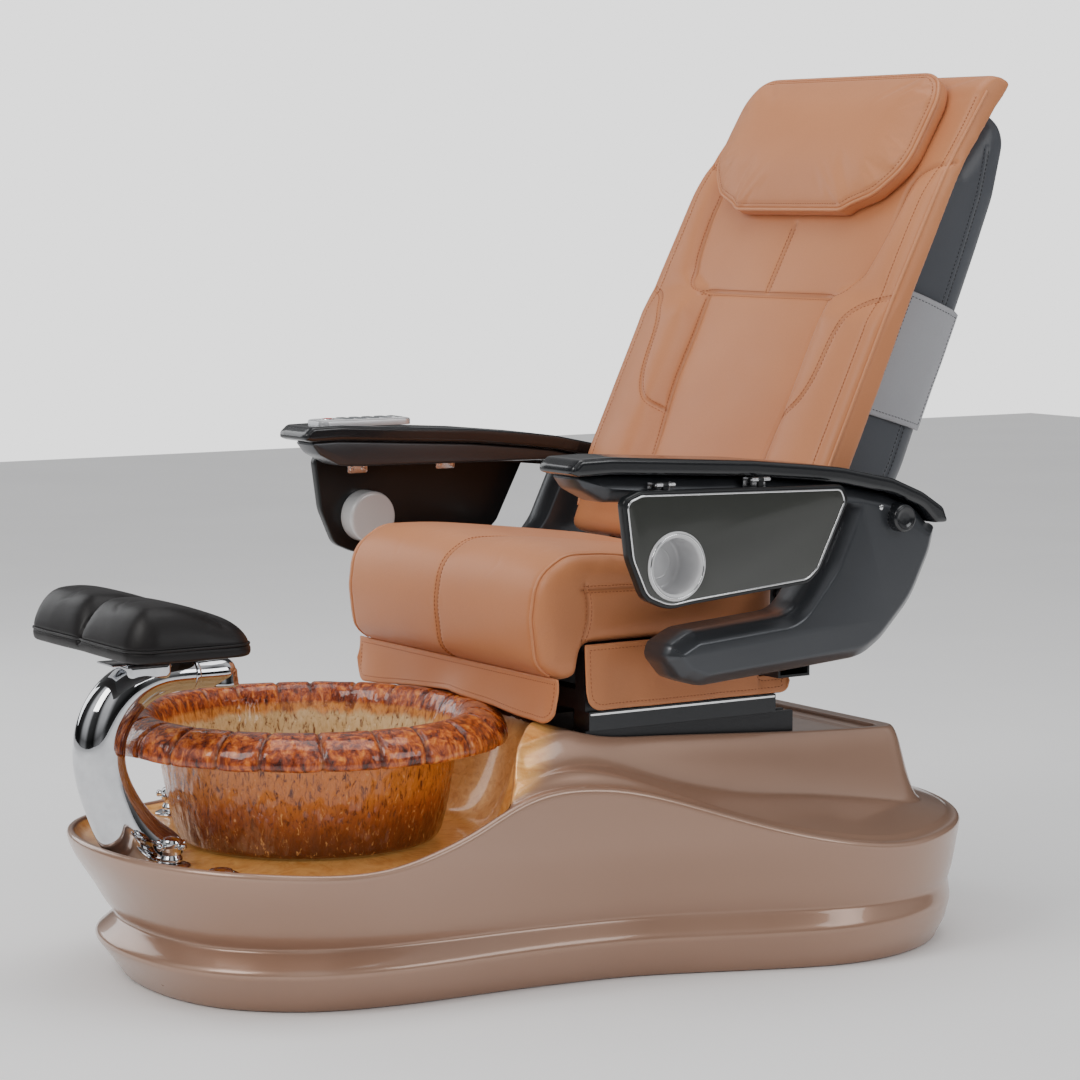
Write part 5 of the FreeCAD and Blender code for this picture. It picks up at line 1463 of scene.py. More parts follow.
def build_seat():
    secs = []
    r = 24
    for x, e in round_ends(-288, 288, r, r, 6, 8):
        secs.append((x, e))
    mid = []
    k = len(secs) // 2
    for x in np.linspace(-255, 255, 41):
        mid.append((float(x), 0))
    secs = secs[:k] + mid + secs[k:]
    V, F = slab(SEAT_Q, secs)
    # crowned towards the middle of each half
    top = smoothstep(V[:, 2], 560, 620)
    ax = np.abs(V[:, 0])
    V[:, 2] += top * 7 * (np.sin(np.clip(ax / 262, 0, 1) * math.pi)) ** 0.7
    ob = make("seat_cushion_body", V, F, [MAT["tan_leather"]])
    remesh(ob, 6)
    relax(ob, 3)
    P = numpy_mesh(ob)
    hold = np.where((P[:, 2] < 506) & (P[:, 1] > -100), 1.0, 0.0)
    hold = np.maximum(hold, np.where(P[:, 2] < 455, 1.0, 0))
    hold = np.maximum(hold, np.where(P[:, 1] > 236, 0.75, 0))
    hold = np.maximum(hold, 0.75 * (np.abs(P[:, 0]) < 4))
    hold = np.maximum(hold, 0.75 * (np.abs(np.abs(P[:, 0]) - 266) < 4) * (P[:, 2] > 470))
    hold = np.maximum(hold, 0.5 * (np.abs(np.abs(P[:, 0]) - 286) < 10) * (np.abs(P[:, 2] - 585) < 4) * (P[:, 1] > -108))
    puff(ob, 4.0, 10, hold)
    subdivide(ob)
    P = numpy_mesh(ob)
    P[:, 2] = np.where(P[:, 1] > -100, np.maximum(P[:, 2], 499.5), P[:, 2])
    P[:, 0] = np.clip(P[:, 0], -297, 297)
    set_mesh(ob, P)
    bv = bvh_of(ob)
    seams, pipes, double = [], [], []

    def around(x, a0, a1, n=240):
        """A line round the cushion in the plane x, seen from a point inside the front roll and then along the top."""
        pts, nn = [], []
        # under the front, up the face, over the roll
        for t in np.linspace(a0, a1, n):
            c = np.array([x, -132 if t < 1 else -132 + (t - 1) * 370, 560.0])
            ang = math.radians(-100 - 170 * min(t, 1.0))
            d = (0, math.cos(ang), math.sin(ang)) if t < 1 else (0, 0, 1)
            src = c + 400 * np.array(d)
            o, m = cast(bv, src[None, :], tuple(-np.array(d)))
            if len(o):
                pts.append(o[0])
                nn.append(m[0])
        return np.array(pts), np.array(nn)

    centre, cn = around(0, 0.0, 2.0)
    seams.append(smooth_line(centre, 2))
    ends = []
    for s in (-1, 1):
        L, N = around(s * 266, 0.02, 2.0)
        ends.append((smooth_line(L, 3), N, s))
    # the side's own seams: a level one and an upright one behind the front roll
    side = []
    for s in (-1, 1):
        o, m = cast(bv, np.column_stack([np.full(120, s * 420), np.linspace(-112, 240, 120), np.full(120, 583) - np.linspace(0, 8, 120)]), (-s, 0, 0))
        side.append((smooth_line(o, 3), m))
        o, m = cast(bv, np.column_stack([np.full(60, s * 420), np.full(60, -108.0) + 6 * np.sin(np.linspace(0, 3, 60)), np.linspace(504, 590, 60)]), (-s, 0, 0))
        side.append((smooth_line(o, 3), m))
    carve(ob, [centre], 3.2, 4.0)
    carve(ob, [e[0] for e in ends], 3.0, 5.0)
    carve(ob, [q[0] for q in side], 2.6, 4.0)
    bv = bvh_of(ob)
    th, pp = Parts(), Parts()
    for L, N in [(centre, cn)]:
        for off in (-5.2, 5.2):
            Q, M = offset_line(bv, smooth_line(L, 2), N, off, 0.15)
            stitches(th, Q, M)
    for L, N, s in ends:
        Q, M = offset_line(bv, L, N, 0, 0.6)
        pp.add(*tube(smooth_line(Q, 4), 3.0, 8))
    for L, N in side:
        for off in (-4.6, 4.6):
            Q, M = offset_line(bv, L, N, off, 0.15)
            stitches(th, Q, M)
    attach(ob, "seat")
    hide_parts("seat_cushion")
    make_parts("seat_piping", pp, [MAT["tan_edge"]], body="seat", slot="tan_leather")
    make_parts("seat_stitching", th, [MAT["thread_tan"]], body="seat", slot="tan_leather", recalc=False)
    return ob


SEAT = build_seat()


# ------------------------------------------------------------------ the back cushion
BACK_P = [(298, 592), (264, 604), (322, 743), (443, 999), (548, 1202), (630, 1332), (655, 1350), (688, 1342), (690, 1330), (654, 1290), (574, 1196), (478, 998),
          (412, 850), (366, 752), (338, 680), (322, 600)]
BACK_Q = rounded(BACK_P, [12, 22, 300, 400, 300, 26, 18, 10, 8, 80, 300, 400, 300, 200, 100, 8], 5)
CH_Z = [600, 1000, 1004, 1030, 1100, 1185, 1205, 1240]
CH_X = [150, 150, 165, 222, 240, 255, 290, 300]


def build_back():
    Q = BACK_Q
    n = len(Q)
    T = np.roll(Q, -1, 0) - np.roll(Q, 1, 0)
    T /= np.linalg.norm(T, axis=1)[:, None]
    Nn = np.column_stack([T[:, 1], -T[:, 0]])
    # front of the loop: normals that look forwards
    front = smoothstep(-Nn[:, 0], 0.25, 0.75) * smoothstep(Q[:, 1], 618, 660)
    half0 = 324.0
    xs = np.linspace(-1, 1, 131)
    xs = np.sign(xs) * (1 - (1 - np.abs(xs)) ** 1.25)
    V = []
    z = Q[:, 1]
    half = np.where(z > 1090, 324 - 22 * smoothstep(z, 1150, 1350), 324)
    ch = np.interp(z, CH_Z, CH_X)
    hb = 27 * smoothstep(z, 640, 705) * (1 - smoothstep(z, 950, 1010)) + 13 * smoothstep(z, 940, 1010) * (1 - smoothstep(z, 1150, 1230))
    for s in xs:
        ax = abs(s)
        r = 15.0 - 9.0 * smoothstep(Nn[:, 0], -0.3, 0.5)
        dx = half - half * ax
        e = np.where(dx < r, r - np.sqrt(np.maximum(r * r - (r - dx) ** 2, 0)), 0)
        P = Q.copy()
        P = P - Nn * e[:, None]
        x = half * s
        w = half - ch
        t = np.clip((np.abs(x) - ch) / np.maximum(w, 1), 0, 1)
        bol = hb * smoothstep(t, -0.02, 0.28) * (1 - 0.45 * smoothstep(t, 0.55, 1.0))
        bol = np.where(np.abs(x) > ch, bol, 0)
        mid = 6.0 * np.cos(np.clip(np.abs(x) / np.maximum(ch, 1), 0, 1) * math.pi / 2) ** 0.8 * smoothstep(z, 650, 720)
        P = P + Nn * ((bol + mid) * front)[:, None]
        V.append(np.column_stack([x, P]))
    F = grid_faces(len(V), n).tolist()
    F.append(tuple(range(n))[::-1])
    k = (len(V) - 1) * n
    F.append(tuple(range(k, k + n)))
    ob = make("back_cushion_body", np.vstack(V), F, [MAT["tan_leather"]])
    remesh(ob, 6)
    relax(ob, 3)
    bv = bvh_of(ob)

    def front_line(xz, step=5.0):
        L = even(np.array(xz, float), max(8, int(length_of(np.array(xz, float)) / step)))
        o, m = cast(bv, np.column_stack([L[:, 0], np.full(len(L), -300.0), L[:, 1]]), (0, 1, 0))
        return o, m

    def sp(pts, nn=90):
        return Spline(pts)(np.linspace(0, 1, nn))

    lines2d = {"channel": [], "panel": [], "bol": [], "mid": [], "outer": []}
    for s in (-1, 1):
        lines2d["channel"].append([(s * a, b) for a, b in sp([(147, 640), (147, 757), (157, 847), (156, 942), (158, 996)])])
        lines2d["bol"].append([(s * a, b) for a, b in sp([(318, 1003), (300, 1000), (262, 985), (240, 950), (232, 892), (215, 845), (188, 822), (155, 806)])])
        lines2d["panel"].append([(s * a, b) for a, b in sp([(158, 1000), (176, 1004), (206, 1014), (226, 1040), (237, 1080), (243, 1130), (251, 1185), (288, 1206), (322, 1212)])])
        lines2d["outer"].append([(s * a, b) for a, b in sp([(296, 650), (296, 800), (296, 1000), (296, 1150), (300, 1250), (296, 1318)])])
    lines2d["mid"].append([(a, 1000.0) for a in np.linspace(-176, 176, 60)])
    lines2d["mid"].append([(0.0, b) for b in np.linspace(1004, 1112, 30)])
    P = numpy_mesh(ob)
    all3 = {k: [front_line(l) for l in v] for k, v in lines2d.items()}
    kdp = np.vstack([o for v in all3.values() for o, _ in v])
    kd = KDTree(len(kdp))
    for i, p in enumerate(kdp):
        kd.insert(p, i)
    kd.balance()
    # the cover is held at its seams and on the frame behind
    dist = np.array([kd.find(p)[2] for p in P])
    Nv = normals_of(ob)
    hold = np.where(dist < 5, 1.0, 0)
    hold = np.maximum(hold, smoothstep(Nv[:, 1], -0.35, 0.3))
    hold = np.maximum(hold, np.where(P[:, 2] < 640, 0.75, 0))
    puff(ob, 4.0, 9, hold)
    relax(ob, 3)
    subdivide(ob)
    carve(ob, [o for k in ("channel", "panel", "mid") for o, _ in all3[k]], 3.4, 4.6)
    carve(ob, [o for k in ("bol",) for o, _ in all3[k]], 2.4, 3.6)
    carve(ob, [o for k in ("outer",) for o, _ in all3[k]], 1.2, 3.0)
    bv = bvh_of(ob)
    # stitching: the panel, bolster, channel and middle seams, and one row near each outer edge of the front
    th, pp = Parts(), Parts()

    def sew(L, N, offs, pitch=6.4):
        L = smooth_line(L, 2)
        for off in offs:
            Qn, M = offset_line(bv, L, N, off, 0.15)
            stitches(th, smooth_line(Qn, 1), M, pitch)

    for o, m in all3["panel"]:
        sew(o, m, (4.6,) if o[-1][0] < 0 else (-4.6,))
    for o, m in all3["bol"]:
        sew(o, m, (-4.4, 4.4))
    for o, m in all3["channel"]:
        sew(o, m, (-4.4,) if o[-1][0] > 0 else (4.4,))
    sew(*all3["mid"][0], (-4.6, 4.6))
    sew(*all3["mid"][1], (-5.0, 5.0))
    for o, m in all3["outer"]:
        sew(o, m, (0,))
    # piping along the front edge of the side
    for s in (-1, 1):
        pts = []
        for q0 in even(np.array([(282, 640), (322, 743), (443, 999), (548, 1202), (628, 1328)]), 220):
            # from outside, into the corner between front and side
            d = Vector((-s * 0.72, 0.62, -0.30)).normalized()
            src = np.array([[s * 322, q0[0] - 6, q0[1] + 3]]) - np.array([tuple(d)]) * 200
            o, m = cast(bv, src, tuple(d))
            if len(o):
                pts.append(o[0])
        pts = smooth_line(np.array(pts), 10)
        pp.add(*tube(pts, 2.7, 8))
    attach(ob, "back")
    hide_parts("back_cushion")
    make_parts("back_piping", pp, [MAT["tan_edge"]], body="back", slot="tan_leather")
    make_parts("back_stitching", th, [MAT["thread_tan"]], body="back", slot="tan_leather", recalc=False)
    return ob


BACK = build_back()


# ------------------------------------------------------------------ head pillow
def build_pillow():
    O = np.array([503.0, 1122.0])
    d = np.array([0.5055, 0.8628])
    nf = np.array([-0.8628, 0.5055])
    L = 249.0
    half = [(0, 142), (10, 152), (30, 205), (82, 253), (150, 254), (205, 253), (236, 236), (247, 214), (249, 196)]
    pts = [(x, v) for v, x in half] + [(-x, v) for v, x in half[::-1]]
    Q = rounded(pts, [18, 30, 60, 80, 400, 60, 40, 20, 14, 14, 20, 40, 60, 400, 80, 60, 30, 18], 4)
    n = len(Q)
    base = 3.0

    def P(loop, h):
        h = np.broadcast_to(h, (len(loop),))
        c = np.column_stack([loop[:, 0], np.zeros(len(loop)), np.zeros(len(loop))])
        c[:, 1] = O[0] + d[0] * loop[:, 1] + nf[0] * h
        c[:, 2] = O[1] + d[1] * loop[:, 1] + nf[1] * h
        return c

    rings = []
    for e, h in ((60, base), (30, base), (10, base), (3, base + 1), (0.8, base + 4), (0, base + 9), (0, base + 16), (0, base + 22), (0.6, base + 26), (2, base + 29), (5, base + 32),
                 (10, base + 35.5), (17, base + 39), (26, base + 42), (38, base + 45), (52, base + 47), (68, base + 48.5), (84, base + 49.5)):
        rings.append(P(inset(Q, e), h))
    last = inset(Q, 84)
    for w in (0.25, 0.5, 0.75, 0.97):
        M = last.copy()
        M[:, 1] = last[:, 1] * (1 - w) + 125 * w
        M[:, 0] = last[:, 0] * (1 - 0.2 * w)
        rings.append(P(M, base + 49.5 + 1.5 * w))
    back = inset(Q, 60)
    F = grid_faces(len(rings), n).tolist()
    F.append(tuple(range(n))[::-1])
    k = (len(rings) - 1) * n
    F.append(tuple(range(k, k + n)))
    ob = make("head_pillow_body", np.vstack(rings), F, [MAT["tan_leather"]])
    remesh(ob, 5)
    relax(ob, 2)
    Pn = numpy_mesh(ob)
    hh = (Pn[:, 1:] - O) @ nf
    hold = np.where(hh < base + 3, 1.0, 0.0)
    hold = np.maximum(hold, np.where((hh > base + 21) & (hh < base + 27), 1.0, 0))
    puff(ob, 4.0, 9, hold)
    subdivide(ob)
    # edge seam: where the front panel meets the gusset
    bv = bvh_of(ob)
    pts = []
    Tn = np.roll(Q, -1, 0) - np.roll(Q, 1, 0)
    Tn /= np.linalg.norm(Tn, axis=1)[:, None]
    Nn = np.column_stack([Tn[:, 1], -Tn[:, 0]])
    src = P(Q + Nn * 60, base + 25)
    dr = P(Q, base + 25) - src
    dr /= np.linalg.norm(dr, axis=1)[:, None]
    for p, q in zip(src, dr):
        o, _ = cast(bv, p[None, :], tuple(q))
        if len(o):
            pts.append(o[0])
    pts = smooth_loop(np.array(pts), 3)
    carve(ob, [np.vstack([pts, pts[:1]])], 2.2, 3.4)
    pp = Parts()
    pp.add(*tube(pts, 3.1, 10, True))
    th = Parts()
    bv = bvh_of(ob)
    f2 = inset(Q, 9)
    o, m = cast(bv, P(f2, 150), tuple(Vector((0, -nf[0], -nf[1]))))
    o, m = np.vstack([o, o[:1]]), np.vstack([m, m[:1]])
    carve(ob, [o], 1.0, 2.6)
    bv = bvh_of(ob)
    o, m = cast(bv, P(f2, 150), tuple(Vector((0, -nf[0], -nf[1]))))
    stitches(th, smooth_loop(o, 2), m)
    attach(ob, "back")
    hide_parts("head_pillow")
    make_parts("pillow_piping", pp, [MAT["tan_edge"]], body="back", slot="tan_leather")
    make_parts("pillow_stitching", th, [MAT["thread_tan"]], body="back", slot="tan_leather", recalc=False)
    return ob


build_pillow()


# ------------------------------------------------------------------ the shell behind the back, and its pockets
def build_shell():
    P = [(336, 640), (420, 632), (470, 650), (515, 731), (560, 839), (609, 948), (659, 1066), (694, 1153), (716, 1245), (704, 1276), (672, 1297), (657, 1288), (578, 1196),
         (482, 998), (416, 850), (370, 752)]
    Q = rounded(P, [10, 40, 60, 200, 300, 400, 300, 120, 60, 40, 20, 12, 300, 400, 300, 200], 6)
    n = len(Q)
    T = np.roll(Q, -1, 0) - np.roll(Q, 1, 0)
    T /= np.linalg.norm(T, axis=1)[:, None]
    Nn = np.column_stack([T[:, 1], -T[:, 0]])
    rear = smoothstep(Nn[:, 0], -0.35, 0.35)
    rear = np.maximum(rear, smoothstep(Nn[:, 1], 0.2, 0.7) * (Q[:, 1] > 1200))
    V = []
    xs = []
    r = 46.0
    for k in range(11):
        a = math.pi / 2 * k / 10
        xs.append((-282 + r * (1 - math.cos(a)), r * (1 - math.sin(a))))
    sec = [(x, e) for x, e in xs] + [(float(x), 0.0) for x in np.linspace(-225, 225, 37)] + [(-x, e) for x, e in xs[::-1]]
    ins = {}
    for x, e in sec:
        ke = round(e, 3)
        if ke not in ins:
            ins[ke] = inset(Q, ke) if ke > 0 else Q
        L = Q + (ins[ke] - Q) * rear[:, None]
        # a shallow groove down each side of the back, 118 mm out from the middle
        g = -4.0 * math.exp(-((abs(x) - 118) / 6.0) ** 2)
        L = L + Nn * (rear * g)[:, None]
        # room at the front for the massage carriage
        room = 26.0 * float(smoothstep(abs(x), 178, 146))
        L = L - Nn * ((1 - rear) * room * smoothstep(Q[:, 1], 690, 760) * (1 - smoothstep(Q[:, 1], 1262, 1292)))[:, None]
        V.append(np.column_stack([np.full(n, x), L]))
    F = grid_faces(len(V), n).tolist()
    F.append(tuple(range(n))[::-1])
    k = (len(V) - 1) * n
    F.append(tuple(range(k, k + n)))
    ob = make("shell_body", np.vstack(V), F, [MAT["grey_leather"]])
    remesh(ob, 6)
    relax(ob, 5)
    subdivide(ob)
    bv = bvh_of(ob)
    th = Parts()
    pp = Parts()
    seams = []
    for s in (-1, 1):
        # seam that follows the rear edge on the side, and an upright one at the back
        L = even(np.array([(455, 662), (500, 742), (544, 850), (592, 960), (640, 1076), (672, 1160), (690, 1236)]), 150)
        o, m = cast(bv, np.column_stack([np.full(len(L), s * 420.0), L[:, 0] - 30, L[:, 1]]), (-s, 0, 0))
        seams.append((o, m))
        o, m = cast(bv, np.column_stack([np.full(110, s * 118.0), np.full(110, 1100.0), np.linspace(690, 1262, 110)]), (0, -1, 0))
        seams.append((o, m))
    carve(ob, [o for o, _ in seams], 1.8, 3.4)
    bv = bvh_of(ob)
    for o, m in seams:
        for off in (-4.2, 4.2):
            Qn, M = offset_line(bv, smooth_line(o, 2), m, off, 0.15)
            stitches(th, Qn, M, 6.8, 4.6, 0.62)
    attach(ob, "back")
    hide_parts("back_shell")
    make_parts("shell_stitching", th, [MAT["thread_dark"]], body="back", slot="grey_leather", recalc=False)
    return ob


SHELL = build_shell()


def flap(name, grid, normal, thick, mat, body, slot, node, stitch_mat, hem=7.0, seams=True):
    """A thin leather flap: a grid of points (rows, columns) thickened along the normals, with a rounded rim and a sewn hem."""
    G = np.asarray(grid, float)
    nr, nc = G.shape[:2]
    Nn = np.cross(np.gradient(G, axis=1), np.gradient(G, axis=0))
    Nn /= np.maximum(np.linalg.norm(Nn, axis=2), 1e-9)[..., None]
    if (Nn.reshape(-1, 3).mean(0) @ np.asarray(normal, float)) < 0:
        Nn = -Nn
    h = thick / 2
    A, B = G + Nn * h, G - Nn * h
    V = [A.reshape(-1, 3), B.reshape(-1, 3)]
    F = grid_faces(nr, nc, False).tolist()
    F += [tuple(v + nr * nc for v in f[::-1]) for f in grid_faces(nr, nc, False).tolist()]
    rim = [(0, j) for j in range(nc)] + [(i, nc - 1) for i in range(1, nr)] + [(nr - 1, j) for j in range(nc - 2, -1, -1)] + [(i, 0) for i in range(nr - 2, 0, -1)]
    idx = [i * nc + j for i, j in rim]
    C = G.reshape(-1, 3)[idx]
    out = []
    flatN = Nn.reshape(-1, 3)[idx]
    Tn = np.roll(C, -1, 0) - np.roll(C, 1, 0)
    O = np.cross(Tn, flatN)
    O /= np.maximum(np.linalg.norm(O, axis=1), 1e-9)[:, None]
    if ((C + O) - C.mean(0)).__abs__().sum() < ((C - O) - C.mean(0)).__abs__().sum():
        O = -O
    mid = C + O * h * 0.9
    base = 2 * nr * nc
    V.append(mid)
    m = len(idx)
    for a in range(m):
        b = (a + 1) % m
        F.append((idx[a], idx[b], base + b, base + a))
        F.append((base + a, base + b, idx[b] + nr * nc, idx[a] + nr * nc))
    ob = make(name, np.vstack(V), F, [mat], body, slot, [node] if node else [])
    # hem stitches on both faces
    th = Parts()
    if seams:
        bv = bvh_of(ob)
        loop = smooth_loop(even(C, max(20, int(length_of(C, True) / 4)), True), 1)
        inn = []
        cen = C.mean(0)
        N0 = np.array([Nn.reshape(-1, 3)[np.argmin(((C - p) ** 2).sum(1))] if False else flatN[np.argmin(((C - p) ** 2).sum(1))] for p in loop])
        Tl = np.roll(loop, -1, 0) - np.roll(loop, 1, 0)
        Ol = np.cross(Tl, N0)
        Ol /= np.maximum(np.linalg.norm(Ol, axis=1), 1e-9)[:, None]
        if (np.linalg.norm(loop + Ol - cen, axis=1).sum() > np.linalg.norm(loop - Ol - cen, axis=1).sum()):
            Ol = -Ol
        for sgn in (1, -1):
            src = loop + Ol * hem + N0 * sgn * 40
            o, n2 = [], []
            for p, q in zip(src, N0):
                a, b = cast(bv, p[None, :], tuple(-sgn * q))
                if len(a) and np.linalg.norm(a[0] - (p - sgn * q * 40)) < 14:
                    o.append(a[0])
                    n2.append(b[0])
            if len(o) > 4:
                stitches(th, smooth_line(np.array(o), 2), np.array(n2), 6.4, 4.3, 0.6)
        if th.n:
            st = make_parts(name + "_stitching", th, [stitch_mat], body=body, slot=slot, recalc=False)
            return ob
    return ob


def corner(u, r, w):
    """How far a rounded corner lifts the edge at u from either end of a width w."""
    d = np.minimum(u, w - u)
    d = np.clip(d, 0, r)
    return r - np.sqrt(np.maximum(r * r - (r - d) ** 2, 0))


def build_pockets():
    for s, nm in ((1, "left"), (-1, "right")):
        a, b, c, d = np.array([501, 1013.0]), np.array([606, 972.0]), np.array([527, 793.0]), np.array([414, 826.0])
        nr, nc = 40, 30
        G = np.zeros((nr, nc, 3))
        for i in range(nr):
            v = i / (nr - 1)
            for j in range(nc):
                u = j / (nc - 1)
                top = a * (1 - u) + b * u
                bot = d * (1 - u) + c * u
                cr = 7.0
                p = top * (1 - v) + bot * v
                bulge = 3.2 * math.sin(math.pi * u) ** 0.8 * math.sin(math.pi * min(1, v * 1.0)) ** 0.6 + 1.8 * noise.noise(Vector((u * 3.1, v * 3.7, 1.3 * s)))
                mouth = 3.6 * (1 - v) ** 5 * math.sin(math.pi * u)
                # the flap goes round the shell's rear edge
                wrap = 10.0 * max(0, (u - 0.72) / 0.28) ** 2
                G[i, j] = (s * (286.0 + max(0, bulge) + mouth - wrap), p[0], p[1])
        flap("pocket_" + nm, G, (s, 0, 0), 3.2, MAT["pocket_leather"], "back", "pocket_leather", "side_pockets" if s == 1 else None,
             MAT["thread_dark"], 7.5)


build_pockets()


def build_skirts():
    # front: hangs from the seat's front edge and kicks out a little at the hem
    nc, nr = 120, 30
    G = np.zeros((nr, nc, 3))
    for j in range(nc):
        x = -289 + 578 * j / (nc - 1)
        ax = abs(x)
        zb = np.interp(ax, [0, 120, 200, 289], [404, 396, 389, 385]) + float(corner(np.array(289 - ax), 34, 1000))
        for i in range(nr):
            v = i / (nr - 1)
            z = 452 * (1 - v) + zb * v
            y = -157 - 10 * v ** 1.7 - 2.6 * v * math.sin(x / 52.0 + 0.7) - 1.5 * v * math.sin(x / 23.0)
            y += 7 * smoothstep(ax, 255, 289) * v
            G[i, j] = (x, y, z)
    flap("front_skirt_leather", G, (0, -1, 0), 3.6, MAT["tan_leather"], "seat", "tan_leather", "front_skirt",
         MAT["thread_tan"], 7.0)
    for s, nm in ((1, "left"), (-1, "right")):
        nc, nr = 110, 30
        G = np.zeros((nr, nc, 3))
        for j in range(nc):
            y = -106 + 372 * j / (nc - 1)
            zt = 499 - 71 * float(smoothstep(y, 203, 211))
            zb = 403 + float(corner(np.array(y + 106), 26, 1000)) + float(corner(np.array(266 - y), 16, 1000))
            zb = min(zb, zt - 6)
            for i in range(nr):
                v = i / (nr - 1)
                z = zt * (1 - v) + zb * v
                x = 286.5 + 4.5 * v ** 1.6 + 1.7 * v * math.sin(y / 31.0) + 1.0 * v * math.sin(y / 14.0 + 1)
                G[i, j] = (s * x, y, z)
        flap("side_skirt_" + nm, G, (s, 0, 0), 3.4, MAT["tan_leather"], "seat", "tan_leather", "side_skirts" if s == 1 else None,
             MAT["thread_tan"], 7.0)


build_skirts()


# ------------------------------------------------------------------ arms, caps, trays, cups
ARM = [(-212, 764), (-158, 765), (91, 751), (202, 740), (258, 733), (354, 713), (413, 690), (438, 664), (454, 660), (445, 620), (407, 546), (349, 488), (311, 465), (160, 454),
       (13, 444), (-23, 457), (-51, 489), (-44, 510), (-5, 529), (178, 543), (242, 617), (283, 702), (262, 716), (-118, 721), (-157, 723), (-196, 743)]
ARM_R = [4, 200, 400, 200, 200, 120, 60, 6, 6, 120, 160, 120, 80, 300, 60, 24, 20, 14, 40, 50, 90, 26, 10, 60, 30, 20]
CAP = [(-225, 778), (-212, 789), (-158, 790), (91, 775), (202, 764), (258, 757), (354, 737), (413, 713), (453, 688), (463, 664), (439, 664.3), (413, 690.3), (354, 713.3),
       (258, 733.3), (202, 740.3), (91, 751.3), (-158, 765.3), (-214, 764.3), (-226, 768)]
CAP_R = [6, 10, 200, 400, 200, 200, 120, 60, 12, 4, 4, 60, 120, 200, 200, 400, 200, 6, 4]
TRAY = [(-157, 731), (-126, 742), (240, 734), (251, 711), (198, 609), (178, 591), (-38, 573), (-76, 568), (-119, 586), (-145, 645)]
TRAY_R = [14, 20, 12, 16, 30, 30, 200, 60, 30, 60]
FACE = [(-149, 726), (-124, 735), (234, 727), (242, 710), (192, 613), (174, 598), (-38, 580), (-74, 575), (-113, 591), (-138, 645)]
FACE_R = [11, 17, 10, 14, 27, 27, 200, 55, 28, 56]


def sided(V, s):
    V = np.asarray(V, float).copy()
    V[:, 0] *= s
    return V


def cut_hole(ob, x0, x1, y, z, r):
    V, F = turned([(r, x0), (r, x1)], 96, (0, y, z), "x")
    c = make("cutter", V, F, [MAT["tray_body"]])
    m = ob.modifiers.new("b", "BOOLEAN")
    m.object = c
    m.operation = "DIFFERENCE"
    m.solver = "EXACT"
    sharp = ob.data
    apply_mods(ob)
    bpy.data.objects.remove(c)
    ob.data.set_sharp_from_angle(angle=math.radians(35))
    return ob


